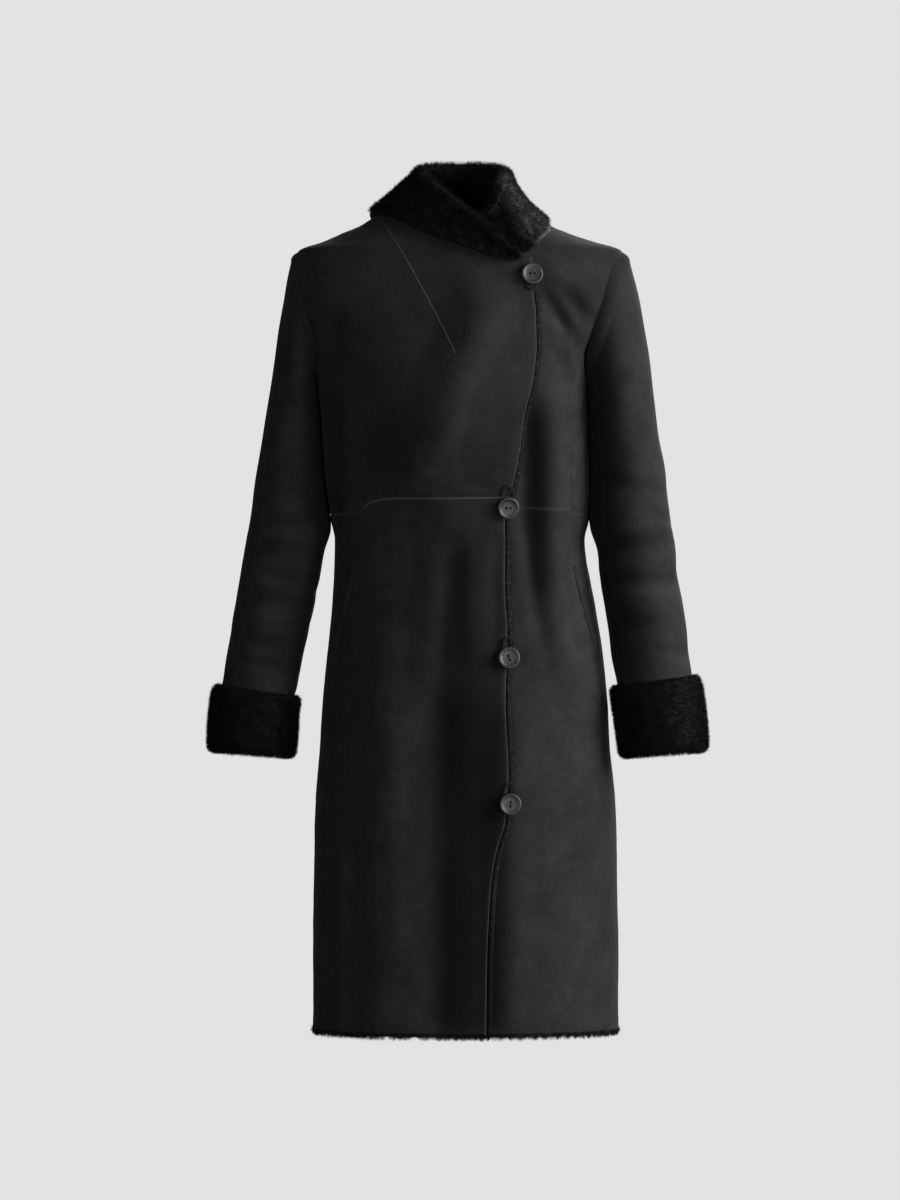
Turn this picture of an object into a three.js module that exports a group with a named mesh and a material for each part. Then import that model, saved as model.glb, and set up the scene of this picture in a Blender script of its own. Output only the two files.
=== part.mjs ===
// A knee-length shearling coat, filled out as if worn, with nobody in it.
// Millimetres, +Z up, the front faces -Y, and the wearer's left side is +X.
// The origin is the centre of the neck opening, level with the tops of the shoulders.
import * as THREE from "three";

// Driving sizes
const WALL = 6; // skin and clipped wool together
const SEAM_GAP = 0.3; // between neighbouring pieces
const LAP_GAP = 1.2; // between the two fronts where one lies on the other
const LAP = WALL + LAP_GAP; // how far the upper front stands off the lower one
const LAP_WIDTH = 60; // how far the lower front runs on under the upper one
const LAP_RAMP = 70; // over which the upper front rises onto the lower one
const LAP_LEVEL = 6; // last part of that, where it lies level
const SHOULDER_TIP = -43; // height of the shoulder tips
const UNDERARM = -212; // height of the bottom of the armholes
const ARMHOLE_MIDDLE = -118; // height where an armhole is deepest from front to back
const ARMHOLE_DEPTH = 60; // half of that depth
const ARMHOLE_UPPER = SHOULDER_TIP - ARMHOLE_MIDDLE; // height of the armhole's curve above its middle
const ARMHOLE_LOWER = 106; // height of the whole curve below its middle
const UNDERARM_FADE = 60; // height over which the flat under the arm dies away
const SEAM_CURVE = 50; // height over which the side seams curve to the armholes
const NECK_POINT = 8; // height where the shoulder seams meet the collar
const HEM = -1010; // height of the skin's cut edge
const WOOL_HEM = -1022; // height that the wool at the hem reaches
const ROUNDNESS = 2.15; // exponent of the body's sections, 2 for an ellipse
const CUFF_PROUD = 10; // how far a turned-back cuff stands off its sleeve
const COLLAR_WALL = 6.5; // skin and fur of the collar
const BUTTON_RADIUS = 13.8;
const BUTTON_THICKNESS = 4;
const SHANK_RADIUS = 3;
const SHANK_LENGTH = 3.4;
const CORD_RADIUS = 1.6; // of the button loops
const EDGE_WIDTH = 7.5; // wool that shows along the closing edge
const WELT_WIDTH = 6;

// The body's level sections, from the neck to the hem
const bodyRows = [
  { height: 12, halfWidth: 84, shift: 0, front: 50, back: 52 },
  { height: 4, halfWidth: 98, shift: -1, front: 57, back: 58 },
  { height: -2, halfWidth: 107, shift: -3, front: 63, back: 63 },
  { height: -11, halfWidth: 119, shift: -5, front: 72, back: 70 },
  { height: -21, halfWidth: 142, shift: -6, front: 81, back: 77 },
  { height: -31, halfWidth: 168, shift: -3, front: 88, back: 83 },
  { height: -43, halfWidth: 202, shift: 0, front: 96, back: 89 },
  { height: -67, halfWidth: 195.5, shift: -9, front: 104, back: 96 },
  { height: -101, halfWidth: 188.5, shift: -9.5, front: 112, back: 104 },
  { height: -142, halfWidth: 175, shift: -8.5, front: 122, back: 111 },
  { height: -177, halfWidth: 167, shift: -10.5, front: 127, back: 114 },
  { height: -215, halfWidth: 167, shift: -9.5, front: 131, back: 114 },
  { height: -250, halfWidth: 167, shift: -7.8, front: 129, back: 110 },
  { height: -312, halfWidth: 166.8, shift: -4.3, front: 119, back: 102 },
  { height: -377, halfWidth: 161, shift: -0.5, front: 109, back: 96 },
  { height: -403, halfWidth: 155.6, shift: -0.5, front: 107, back: 95 },
  { height: -428, halfWidth: 157, shift: 0.6, front: 109, back: 97 },
  { height: -453, halfWidth: 160, shift: 2.5, front: 113, back: 101 },
  { height: -502, halfWidth: 166, shift: 5, front: 120, back: 110 },
  { height: -552, halfWidth: 173, shift: 6.5, front: 127, back: 120 },
  { height: -601, halfWidth: 177.3, shift: 6.2, front: 131, back: 126 },
  { height: -651, halfWidth: 180.4, shift: 5.8, front: 135, back: 130 },
  { height: -725, halfWidth: 186.6, shift: 6.8, front: 140, back: 134 },
  { height: -825, halfWidth: 189, shift: 6.8, front: 144, back: 139 },
  { height: -1030, halfWidth: 191, shift: 7.4, front: 150, back: 146 },
];

// The upper front's closing edge, as places across the front
const closingRows = [
  { height: -50, across: 87 },
  { height: -98, across: 89.3 },
  { height: -130, across: 91.8 },
  { height: -161, across: 91.8 },
  { height: -192, across: 89.3 },
  { height: -242, across: 80.6 },
  { height: -304, across: 70.7 },
  { height: -351, across: 60 },
  { height: -383, across: 54 },
  { height: -461, across: 54 },
  { height: -518, across: 57 },
  { height: -614, across: 54 },
  { height: -694, across: 57 },
  { height: -750, across: 53.3 },
  { height: -787, across: 43.4 },
  { height: -825, across: 37.2 },
  { height: -862, across: 34.7 },
  { height: -924, across: 32.2 },
  { height: -1030, across: 31 },
];

// The seams between fronts and sides, which run along the slanted pockets below the waist
const frontSeamRows = [
  { height: -250, right: -121, left: 138 },
  { height: -419, right: -120, left: 140 },
  { height: -435, right: -130, left: 142 },
  { height: -477, right: -140, left: 152 },
  { height: -539, right: -154, left: 168 },
  { height: -591, right: -160, left: 176 },
  { height: -660, right: -163, left: 180 },
  { height: -1030, right: -170, left: 185 },
];

// The seams between sides and back
const backSeamRows = [
  { height: -250, right: -128, left: 122 },
  { height: -419, right: -122, left: 126 },
  { height: -591, right: -140, left: 148 },
  { height: -1030, right: -150, left: 164 },
];

// Neck edges of the panels, hidden under the collar's turned-down part
const upperNeckRows = [
  { across: -92, height: 8 },
  { across: -74, height: 5 },
  { across: -37, height: -11 },
  { across: -12, height: -22 },
  { across: 25, height: -36 },
  { across: 62, height: -47 },
  { across: 90, height: -56 },
];
const lowerNeckRows = [
  { across: 26, height: -80 },
  { across: 50, height: -60 },
  { across: 66, height: -40 },
  { across: 76, height: -22 },
  { across: 84, height: -8 },
  { across: 91, height: 8 },
];
const backNeckRows = [
  { across: -92, height: 8 },
  { across: -50, height: 6 },
  { across: 0, height: 4 },
  { across: 50, height: 6 },
  { across: 91, height: 8 },
];

// Waist seam of the upper front, which rises a little from its rounded side corner
const upperWaistRows = [
  { across: -122, height: -366 },
  { across: -108, height: -356 },
  { across: -74, height: -352 },
  { across: 60, height: -350 },
];
const LOWER_WAIST = -364; // waist seam of the lower front
const SIDE_WAIST = -371; // waist seam of the sides and back

// Heights that the rows of neighbouring panels share, so that their edges fit
const lowerBodiceHeights = [-330, -296, -268, -248, -234, -222, UNDERARM];
const skirtHeights = [
  -395, -419, -435, -477, -508, -539, -591, -650, -705, -750, -787, -830, -890, -950, HEM,
];
const MIDDLE_ROWS = 7; // from the underarm to the shoulder tip
const UPPER_ROWS = 6; // from the shoulder tip to the neck

// The largest folds: soft troughs, or ridges where the depth is negative
const foldRows = [
  { face: -1, topAcross: 100, top: -225, lowAcross: 96, low: -372, width: 13, depth: 5 },
  { face: -1, topAcross: 96, top: -372, lowAcross: 104, low: -530, width: 15, depth: 3 },
  { face: -1, topAcross: 126, top: -240, lowAcross: 122, low: -400, width: 15, depth: -3 },
  { face: -1, topAcross: 110, top: -100, lowAcross: 148, low: -178, width: 13, depth: 4 },
  { face: -1, topAcross: 132, top: -78, lowAcross: 158, low: -150, width: 11, depth: 3 },
  { face: -1, topAcross: -15, top: -430, lowAcross: -12, low: -980, width: 20, depth: 4 },
  { face: -1, topAcross: -38, top: -520, lowAcross: -40, low: -1010, width: 20, depth: -3 },
  { face: -1, topAcross: -156, top: -780, lowAcross: -158, low: -1010, width: 14, depth: 4 },
  { face: -1, topAcross: -140, top: -820, lowAcross: -136, low: -1010, width: 14, depth: -3 },
  { face: -1, topAcross: 120, top: -600, lowAcross: 128, low: -1010, width: 24, depth: 3 },
  { face: 1, topAcross: -20, top: -300, lowAcross: -26, low: -430, width: 18, depth: 4 },
  { face: 1, topAcross: 70, top: -420, lowAcross: 84, low: -1000, width: 26, depth: 5 },
  { face: 1, topAcross: -58, top: -460, lowAcross: -76, low: -1010, width: 28, depth: 5 },
  { face: 1, topAcross: 8, top: -520, lowAcross: 4, low: -1010, width: 24, depth: -4 },
  { face: 1, topAcross: 112, top: -120, lowAcross: 96, low: -230, width: 16, depth: 4 },
  { face: 1, topAcross: -118, top: -110, lowAcross: -104, low: -240, width: 16, depth: 4 },
];

// Sleeve sections: outer and inner ends, then the middle and half depth from front to back
const sleeveRows = [
  { height: -138, outerZ: -56, innerZ: -220, leftOuter: 213, leftInner: 159.3,
    rightOuter: -211, rightInner: -178, middle: 0, halfDepth: 63 },
  { height: -153, outerZ: -80, innerZ: -226, leftOuter: 219, leftInner: 159.6,
    rightOuter: -216, rightInner: -177.8, middle: 0, halfDepth: 64 },
  { height: -169, outerZ: -105, innerZ: -233, leftOuter: 224.4, leftInner: 160,
    rightOuter: -219.5, rightInner: -177.3, middle: 0, halfDepth: 64 },
  { height: -191, outerZ: -138, innerZ: -244, leftOuter: 230, leftInner: 160.6,
    rightOuter: -225, rightInner: -176.7, middle: 0, halfDepth: 63.5 },
  { height: -219, outerZ: -180, innerZ: -258, leftOuter: 236, leftInner: 161.4,
    rightOuter: -231.5, rightInner: -175.8, middle: -1, halfDepth: 62.5 },
  { height: -254, outerZ: -229, innerZ: -279, leftOuter: 243, leftInner: 162.6,
    rightOuter: -239.5, rightInner: -174.6, middle: -2, halfDepth: 61 },
  { height: -292, outerZ: -279, innerZ: -305, leftOuter: 249.5, leftInner: 164,
    rightOuter: -247, rightInner: -173, middle: -4, halfDepth: 59 },
  { height: -335, outerZ: -329, innerZ: -341, leftOuter: 256.5, leftInner: 164.5,
    rightOuter: -255, rightInner: -170.3, middle: -6, halfDepth: 57 },
  { height: -383, outerZ: -377, innerZ: -389, leftOuter: 263, leftInner: 164,
    rightOuter: -262.5, rightInner: -165, middle: -8, halfDepth: 55 },
  { height: -409, outerZ: -403, innerZ: -415, leftOuter: 266.6, leftInner: 170,
    rightOuter: -266.6, rightInner: -168, middle: -10, halfDepth: 54 },
  { height: -446, outerZ: -440, innerZ: -452, leftOuter: 270.5, leftInner: 174.5,
    rightOuter: -272.5, rightInner: -175, middle: -12, halfDepth: 53 },
  { height: -483, outerZ: -477, innerZ: -489, leftOuter: 276.5, leftInner: 180,
    rightOuter: -279, rightInner: -182, middle: -14, halfDepth: 52 },
  { height: -520, outerZ: -514, innerZ: -526, leftOuter: 281, leftInner: 185.5,
    rightOuter: -285, rightInner: -190.5, middle: -17, halfDepth: 51 },
  { height: -551, outerZ: -545, innerZ: -557, leftOuter: 285, leftInner: 191,
    rightOuter: -289.5, rightInner: -198, middle: -19, halfDepth: 50 },
  { height: -580, outerZ: -574, innerZ: -586, leftOuter: 289, leftInner: 196,
    rightOuter: -294, rightInner: -203.5, middle: -20, halfDepth: 49 },
  { height: -606, outerZ: -600, innerZ: -612, leftOuter: 293, leftInner: 201,
    rightOuter: -299.5, rightInner: -211, middle: -21, halfDepth: 49 },
  { height: -655, outerZ: -651, innerZ: -659, leftOuter: 298, leftInner: 207,
    rightOuter: -303.5, rightInner: -214, middle: -23, halfDepth: 49 },
  { height: -680, outerZ: -677, innerZ: -683, leftOuter: 300, leftInner: 209,
    rightOuter: -304.5, rightInner: -215, middle: -24, halfDepth: 49 },
];
const SLEEVE_END = -654;
const SLEEVE_SEAM = 0.367; // of the way round from the outer side to each sleeve seam

// Cuffs: where each starts, and its section as distance off the sleeve and share of its length
const cuffTops = { left: -580, right: -592 };
const CUFF_BOTTOM = -667;
const cuffRows = [
  { off: 1.3, down: 0.05 },
  { off: 3, down: 0.0 },
  { off: 7, down: 0.0 },
  { off: CUFF_PROUD, down: 0.07 },
  { off: CUFF_PROUD + 1, down: 0.5 },
  { off: CUFF_PROUD, down: 0.92 },
  { off: 6, down: 1.0 },
  { off: -3, down: 1.0 },
  { off: -WALL - 1, down: 0.95 },
  { off: -WALL - 1, down: 0.87 },
  { off: 1.3, down: 0.87 },
];

// The collar from its end at the top button, round the neck to the end under the lapel:
// its roll line, the edge of its turned-down part, and the neck seam that it stands on.
// The face is -1 where edge and seam lie on the front, and 1 on the back. The edge has a wall
// of its own and a lift off the cloth. The hollow is how far the turned-down part bends in
// between its roll and its edge.
const EDGE_LIFT = 2.4;
const collarRows = [
  { rollX: 75, rollY: -110, rollZ: -53, edgeX: 75, edgeZ: -59, neckX: 70,
    face: -1, wall: 2.4, edgeWall: 2.4, lift: EDGE_LIFT, hollow: 0 },
  { rollX: 63, rollY: -109, rollZ: -43, edgeX: 61, edgeZ: -60, neckX: 60,
    face: -1, wall: 4, edgeWall: 4, lift: EDGE_LIFT, hollow: 0 },
  { rollX: 50, rollY: -105, rollZ: -31, edgeX: 42, edgeZ: -57, neckX: 44,
    face: -1, wall: 5.5, edgeWall: 5.5, lift: EDGE_LIFT, hollow: 0 },
  { rollX: 26, rollY: -88, rollZ: -5, edgeX: 6, edgeZ: -45, neckX: 14,
    face: -1, wall: COLLAR_WALL, edgeWall: COLLAR_WALL, lift: EDGE_LIFT, hollow: 0 },
  { rollX: -3, rollY: -70, rollZ: 15, edgeX: -31, edgeZ: -30, neckX: -18,
    face: -1, wall: COLLAR_WALL, edgeWall: COLLAR_WALL, lift: EDGE_LIFT, hollow: 0 },
  { rollX: -28, rollY: -52, rollZ: 37, edgeX: -64, edgeZ: -13, neckX: -48,
    face: -1, wall: COLLAR_WALL, edgeWall: COLLAR_WALL, lift: EDGE_LIFT, hollow: 0 },
  { rollX: -45, rollY: -27, rollZ: 53, edgeX: -88, edgeZ: -3, neckX: -74,
    face: -1, wall: COLLAR_WALL, edgeWall: COLLAR_WALL, lift: EDGE_LIFT, hollow: 0 },
  { rollX: -51, rollY: 0, rollZ: 61, edgeX: -110, edgeZ: 0, neckX: -95,
    face: -1, wall: COLLAR_WALL, edgeWall: COLLAR_WALL, lift: EDGE_LIFT, hollow: 1 },
  { rollX: -42, rollY: 28, rollZ: 66, edgeX: -98, edgeZ: -6, neckX: -78,
    face: 1, wall: COLLAR_WALL, edgeWall: COLLAR_WALL, lift: EDGE_LIFT, hollow: 2 },
  { rollX: -24, rollY: 43, rollZ: 68.5, edgeX: -62, edgeZ: -12, neckX: -46,
    face: 1, wall: COLLAR_WALL, edgeWall: COLLAR_WALL, lift: EDGE_LIFT, hollow: 2 },
  { rollX: 3, rollY: 49, rollZ: 69, edgeX: 0, edgeZ: -14, neckX: 0,
    face: 1, wall: COLLAR_WALL, edgeWall: COLLAR_WALL, lift: EDGE_LIFT, hollow: 2 },
  { rollX: 30, rollY: 43, rollZ: 68.5, edgeX: 62, edgeZ: -12, neckX: 46,
    face: 1, wall: COLLAR_WALL, edgeWall: COLLAR_WALL, lift: EDGE_LIFT, hollow: 3 },
  { rollX: 48, rollY: 28, rollZ: 65.5, edgeX: 98, edgeZ: -10, neckX: 78,
    face: 1, wall: COLLAR_WALL, edgeWall: 5, lift: EDGE_LIFT, hollow: 5 },
  { rollX: 57, rollY: 0, rollZ: 60, edgeX: 110, edgeZ: -5, neckX: 95,
    face: -1, wall: COLLAR_WALL, edgeWall: 3, lift: 1.9, hollow: 8 },
  { rollX: 56, rollY: -24, rollZ: 50, edgeX: 108, edgeZ: -19, neckX: 86,
    face: -1, wall: COLLAR_WALL, edgeWall: 2.5, lift: 2, hollow: 6 },
  { rollX: 49, rollY: -44, rollZ: 31, edgeX: 99, edgeZ: -29, neckX: 79,
    face: -1, wall: COLLAR_WALL, edgeWall: 2.5, lift: EDGE_LIFT, hollow: 4 },
  { rollX: 40, rollY: -58, rollZ: 12, edgeX: 90, edgeZ: -40, neckX: 71,
    face: -1, wall: 6, edgeWall: 3, lift: EDGE_LIFT, hollow: 2 },
  { rollX: 27, rollY: -67, rollZ: -4, edgeX: 82, edgeZ: -47, neckX: 63,
    face: -1, wall: 5, edgeWall: 3.5, lift: EDGE_LIFT, hollow: 0 },
  { rollX: 20, rollY: -69, rollZ: -12, edgeX: 74, edgeZ: -46, neckX: 56,
    face: -1, wall: 4, edgeWall: 3.5, lift: EDGE_LIFT, hollow: 0 },
];
const COLLAR_STEPS = 46;
const FIRST_BACK_ROW = 8; // of the collar's rows, which lies behind the right shoulder
const NECK_CLEAR = 1.4; // of the collar above the panels' neck edges
const NECK_INSET = 2.5; // and beside them

// Buttons, by their place on the front, with the turn of their faces to the side
const buttonRows = [
  { across: 86.3, height: -78, turned: 0, loopReach: -18 },
  { across: 57, height: -363, turned: 0, loopReach: 27 },
  { across: 57.7, height: -550, turned: 0.45, loopReach: 25 },
  { across: 58.3, height: -729, turned: 0, loopReach: 25 },
];

const SUEDE = { color: 0x1d1b1e, roughness: 0.95, metalness: 0 };
const FUR = { color: 0x0b0b0d, roughness: 1, metalness: 0 };
const HORN = { color: 0x2c2c2e, roughness: 0.5, metalness: 0 };

const coat = new THREE.Group();

// Curves through the tables

const mix = (a, b, share) => a + (b - a) * share;

function ease(value) {
  const share = Math.min(1, Math.max(0, value));
  return share * share * (3 - 2 * share);
}

// Smooth value of a column between rows, with no overshoot
function along(rows, key, column, place) {
  const rising = rows[rows.length - 1][key] > rows[0][key];
  const ordered = rising ? rows : [...rows].reverse();
  const last = ordered.length - 1;
  const at = Math.min(ordered[last][key], Math.max(ordered[0][key], place));
  let i = 0;
  while (i < last - 1 && at > ordered[i + 1][key]) i += 1;
  const step = (k) => ordered[k + 1][key] - ordered[k][key];
  const slope = (k) => (ordered[k + 1][column] - ordered[k][column]) / step(k);
  const tangent = (k) => {
    if (k === 0) return slope(0);
    if (k === last) return slope(last - 1);
    const before = slope(k - 1);
    const after = slope(k);
    return before * after <= 0 ? 0 : (2 * before * after) / (before + after);
  };
  const t = (at - ordered[i][key]) / step(i);
  const start = ordered[i][column];
  const end = ordered[i + 1][column];
  const rise = (2 * t ** 3 - 3 * t ** 2 + 1) * start + (-2 * t ** 3 + 3 * t ** 2) * end;
  const lean = (t ** 3 - 2 * t ** 2 + t) * tangent(i) + (t ** 3 - t ** 2) * tangent(i + 1);
  return rise + lean * step(i);
}

// The body's surface

// How far before the middle an armhole's front edge lies, and the flat under it
function sideFlat(height) {
  if (height >= SHOULDER_TIP) return 0;
  const above = height > ARMHOLE_MIDDLE;
  const reach = above ? ARMHOLE_UPPER : ARMHOLE_LOWER;
  const curve = (at) => ARMHOLE_DEPTH * Math.sqrt(Math.max(0, 1 - ((at - ARMHOLE_MIDDLE) / reach) ** 2));
  if (height >= UNDERARM) return curve(height);
  return curve(UNDERARM) * ease(1 - (UNDERARM - height) / UNDERARM_FADE);
}

const SECTION_STEPS = 40;
const sections = new Map();

// Half of a level section, from the front's middle round the side to the back's middle.
// An armhole cuts a wider section off at the half width, and leaves a flat there.
function sectionAt(height) {
  const key = height.toFixed(3);
  if (sections.has(key)) return sections.get(key);
  const [halfWidth, shift, front, back] = ["halfWidth", "shift", "front", "back"].map((column) =>
    along(bodyRows, "height", column, height),
  );
  const flat = sideFlat(height);
  const whole = halfWidth / (1 - (flat / front) ** ROUNDNESS) ** (1 / ROUNDNESS);
  const corner = Math.asin((halfWidth / whole) ** (ROUNDNESS / 2));
  const points = [];
  for (const depth of [-front, back]) {
    for (let i = 0; i <= SECTION_STEPS; i += 1) {
      const share = i / SECTION_STEPS;
      const angle = (depth < 0 ? share : 1 - share) * corner;
      const out = whole * Math.sin(angle) ** (2 / ROUNDNESS);
      const deep = depth * Math.max(0, Math.cos(angle)) ** (2 / ROUNDNESS);
      points.push([out, deep]);
    }
  }
  const lengths = [0];
  for (let i = 1; i < points.length; i += 1) {
    const step = Math.hypot(points[i][0] - points[i - 1][0], points[i][1] - points[i - 1][1]);
    lengths.push(lengths[i - 1] + step);
  }
  const girth = lengths[lengths.length - 1];
  const found = { shift, points, lengths, girth, backShare: back / front };
  sections.set(key, found);
  return found;
}

// A place on the surface: turn is 0 at the front's middle, 1 or -1 at the back's middle
function surfaceSpot(turn, height) {
  const wrapped = turn > 1 ? turn - 2 : turn < -1 ? turn + 2 : turn;
  const section = sectionAt(height);
  const goal = Math.abs(wrapped) * section.girth;
  let i = 1;
  while (i < section.lengths.length - 1 && section.lengths[i] < goal) i += 1;
  const span = section.lengths[i] - section.lengths[i - 1];
  const share = span > 0 ? (goal - section.lengths[i - 1]) / span : 0;
  const [x0, y0] = section.points[i - 1];
  const [x1, y1] = section.points[i];
  const side = wrapped < 0 ? -1 : 1;
  return new THREE.Vector3(section.shift + side * mix(x0, x1, share), mix(y0, y1, share), height);
}

const TURN_STEP = 0.012;
const HEIGHT_STEP = 4;

function surfaceNormal(turn, height) {
  const round = surfaceSpot(turn + TURN_STEP, height).sub(surfaceSpot(turn - TURN_STEP, height));
  const up = surfaceSpot(turn, height + HEIGHT_STEP).sub(surfaceSpot(turn, height - HEIGHT_STEP));
  return round.cross(up).normalize();
}

const FOLD_FADE = 30; // length over which a fold dies away at each end

// How far the folds move a place on the surface, outwards
function foldRise(spot) {
  let rise = 0;
  for (const fold of foldRows) {
    if (Math.sign(spot.y) !== fold.face) continue;
    const dx = fold.lowAcross - fold.topAcross;
    const dz = fold.low - fold.top;
    const length = Math.hypot(dx, dz);
    const down = ((spot.x - fold.topAcross) * dx + (spot.z - fold.top) * dz) / length;
    const off = ((spot.x - fold.topAcross) * dz - (spot.z - fold.top) * dx) / length;
    const before = (down + FOLD_FADE) / (2 * FOLD_FADE);
    const after = (length + FOLD_FADE - down) / (2 * FOLD_FADE);
    const fade = ease(before) * ease(after);
    rise -= fold.depth * fade * Math.exp(-((off / fold.width) ** 2));
  }
  return rise;
}

// A place on the cloth, moved out from the surface
function clothSpot(turn, height, out) {
  const spot = surfaceSpot(turn, height);
  const total = out + foldRise(spot);
  return spot.addScaledVector(surfaceNormal(turn, height), total);
}

// The turn at which the section has a place across it, on the front or the back
function turnAt(across, height, face) {
  const section = sectionAt(height);
  const side = across < section.shift ? -1 : 1;
  const goal = Math.abs(across - section.shift);
  const middle = SECTION_STEPS;
  let i = face < 0 ? 1 : section.points.length - 1;
  if (face < 0) while (i < middle && section.points[i][0] < goal) i += 1;
  else while (i > middle + 2 && section.points[i - 1][0] < goal) i -= 1;
  const [near, far] = [section.points[i - 1][0], section.points[i][0]];
  const share = Math.min(1, Math.max(0, (goal - near) / (far - near)));
  return (side * mix(section.lengths[i - 1], section.lengths[i], share)) / section.girth;
}

// The turn of the side's front or back corner, which is an armhole's edge or a shoulder seam
function sideTurn(side, height, face) {
  const section = sectionAt(height);
  const corner = face < 0 ? SECTION_STEPS : SECTION_STEPS + 1;
  return (side * section.lengths[corner]) / section.girth;
}

// Half a seam's gap as a share of the section
const halfGap = (height) => SEAM_GAP / 2 / sectionAt(height).girth;

// The seam beside a side piece: straight, then curving up to the armhole, then its edge
function seamTurn(side, height, face) {
  const edge = sideTurn(side, height, face);
  if (height >= UNDERARM) return edge;
  const rows = face < 0 ? frontSeamRows : backSeamRows;
  const across = along(rows, "height", side < 0 ? "right" : "left", height);
  const seam = turnAt(across, height, face);
  return mix(seam, edge, ease(1 - (UNDERARM - height) / SEAM_CURVE));
}

function closingAcross(height) {
  return along(closingRows, "height", "across", height);
}

// How far the upper front stands off the surface
function lapRise(turn, height) {
  const edge = closingAcross(height) - LAP_WIDTH - LAP_RAMP;
  const across = surfaceSpot(turn, height).x;
  return LAP * ease((across - edge) / (LAP_RAMP - LAP_LEVEL));
}

const noRise = () => 0;

// Closed bodies

function addBody(name, points, faces, finish) {
  let volume = 0;
  for (const [a, b, c] of faces) {
    volume += points[a].dot(new THREE.Vector3().crossVectors(points[b], points[c]));
  }
  const outward = volume > 0 ? faces : faces.map(([a, b, c]) => [a, c, b]);
  const geometry = new THREE.BufferGeometry();
  geometry.setAttribute(
    "position",
    new THREE.Float32BufferAttribute(points.flatMap((point) => point.toArray()), 3),
  );
  geometry.setIndex(outward.flat());
  geometry.computeVertexNormals();
  const mesh = new THREE.Mesh(geometry, new THREE.MeshStandardMaterial(finish));
  mesh.name = name;
  coat.add(mesh);
}

// A wall between an outer and an inner grid of places
function addWall(name, columns, rows, outerAt, innerAt, finish) {
  const points = [];
  const faces = [];
  for (const layerAt of [outerAt, innerAt]) {
    for (let j = 0; j <= rows; j += 1) {
      for (let i = 0; i <= columns; i += 1) points.push(layerAt(i, j));
    }
  }
  const layerSize = (columns + 1) * (rows + 1);
  const at = (layer, i, j) => layer * layerSize + j * (columns + 1) + i;
  const quad = (a, b, c, d) => faces.push([a, b, c], [a, c, d]);
  for (let j = 0; j < rows; j += 1) {
    for (let i = 0; i < columns; i += 1) {
      quad(at(0, i, j), at(0, i + 1, j), at(0, i + 1, j + 1), at(0, i, j + 1));
      quad(at(1, i, j), at(1, i, j + 1), at(1, i + 1, j + 1), at(1, i + 1, j));
    }
    quad(at(0, 0, j), at(0, 0, j + 1), at(1, 0, j + 1), at(1, 0, j));
    quad(at(0, columns, j), at(1, columns, j), at(1, columns, j + 1), at(0, columns, j + 1));
  }
  for (let i = 0; i < columns; i += 1) {
    quad(at(0, i, 0), at(1, i, 0), at(1, i + 1, 0), at(0, i + 1, 0));
    quad(at(0, i, rows), at(0, i + 1, rows), at(1, i + 1, rows), at(1, i, rows));
  }
  addBody(name, points, faces, finish);
}

// A body swept through closed loops of places, capped at its ends or joined into a ring
function addSweep(name, loops, ring, finish) {
  const size = loops[0].length;
  const points = loops.flat();
  const faces = [];
  const spans = ring ? loops.length : loops.length - 1;
  for (let k = 0; k < spans; k += 1) {
    const next = (k + 1) % loops.length;
    for (let i = 0; i < size; i += 1) {
      const j = (i + 1) % size;
      faces.push([k * size + i, k * size + j, next * size + j]);
      faces.push([k * size + i, next * size + j, next * size + i]);
    }
  }
  if (!ring) {
    for (const k of [0, loops.length - 1]) {
      const corners = loops[k].map((point, i) => k * size + i);
      const centre = new THREE.Vector3();
      for (const point of loops[k]) centre.addScaledVector(point, 1 / size);
      const middle = points.push(centre) - 1;
      for (let i = 0; i < size; i += 1) {
        const edge = [corners[i], corners[(i + 1) % size]];
        faces.push(k === 0 ? [edge[1], edge[0], middle] : [edge[0], edge[1], middle]);
      }
    }
  }
  addBody(name, points, faces, finish);
}

// Body panels

// A panel from its side edges and the heights of its rows, a share u across it
function addPanel(name, columns, startTurn, endTurn, rowHeights, riseAt) {
  const place = (i, j, depth) => {
    const u = i / columns;
    const height = rowHeights[j](u);
    const turn = mix(startTurn(height), endTurn(height), u);
    return clothSpot(turn, height, riseAt(turn, height) - depth);
  };
  addWall(name, columns, rowHeights.length - 1, (i, j) => place(i, j, 0),
    (i, j) => place(i, j, WALL), SUEDE);
}

const NECK_ROUNDS = 30; // tries at the height of a place on a neck edge
const NECK_PACE = 0.4; // share of the way to the table's height at each try

// Heights of a top edge that follows a neck table, found where the edge meets its column
function neckHeight(u, startTurn, endTurn, rows, guess) {
  let height = guess;
  for (let round = 0; round < NECK_ROUNDS; round += 1) {
    const turn = mix(startTurn(height), endTurn(height), u);
    const across = surfaceSpot(turn, height).x;
    height = mix(height, along(rows, "across", "height", across), NECK_PACE);
  }
  return height;
}

// Rows of a bodice panel: straight heights to the underarm, then up to the neck edge
function bodiceHeights(waistAt, neckAt, tipAt) {
  const rows = [waistAt];
  for (const height of lowerBodiceHeights) rows.push(() => height);
  for (let k = 1; k <= MIDDLE_ROWS; k += 1) {
    rows.push((u) => mix(UNDERARM, tipAt(u), k / MIDDLE_ROWS));
  }
  for (let k = 1; k <= UPPER_ROWS; k += 1) {
    rows.push((u) => mix(tipAt(u), neckAt(u), k / UPPER_ROWS));
  }
  return rows;
}

const closingTurn = (height) => turnAt(closingAcross(height), height, -1);
const lapTurn = (height) => turnAt(closingAcross(height) - LAP_WIDTH, height, -1);
const frontEdge = (side) => (height) => seamTurn(side, height, -1) - side * halfGap(height);
const sideFrontEdge = (side) => (height) => seamTurn(side, height, -1) + side * halfGap(height);
const sideBackEdge = (side) => (height) => seamTurn(side, height, 1) - side * halfGap(height);
const backEdge = (side) => (height) => seamTurn(side, height, 1) + side * halfGap(height);

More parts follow.
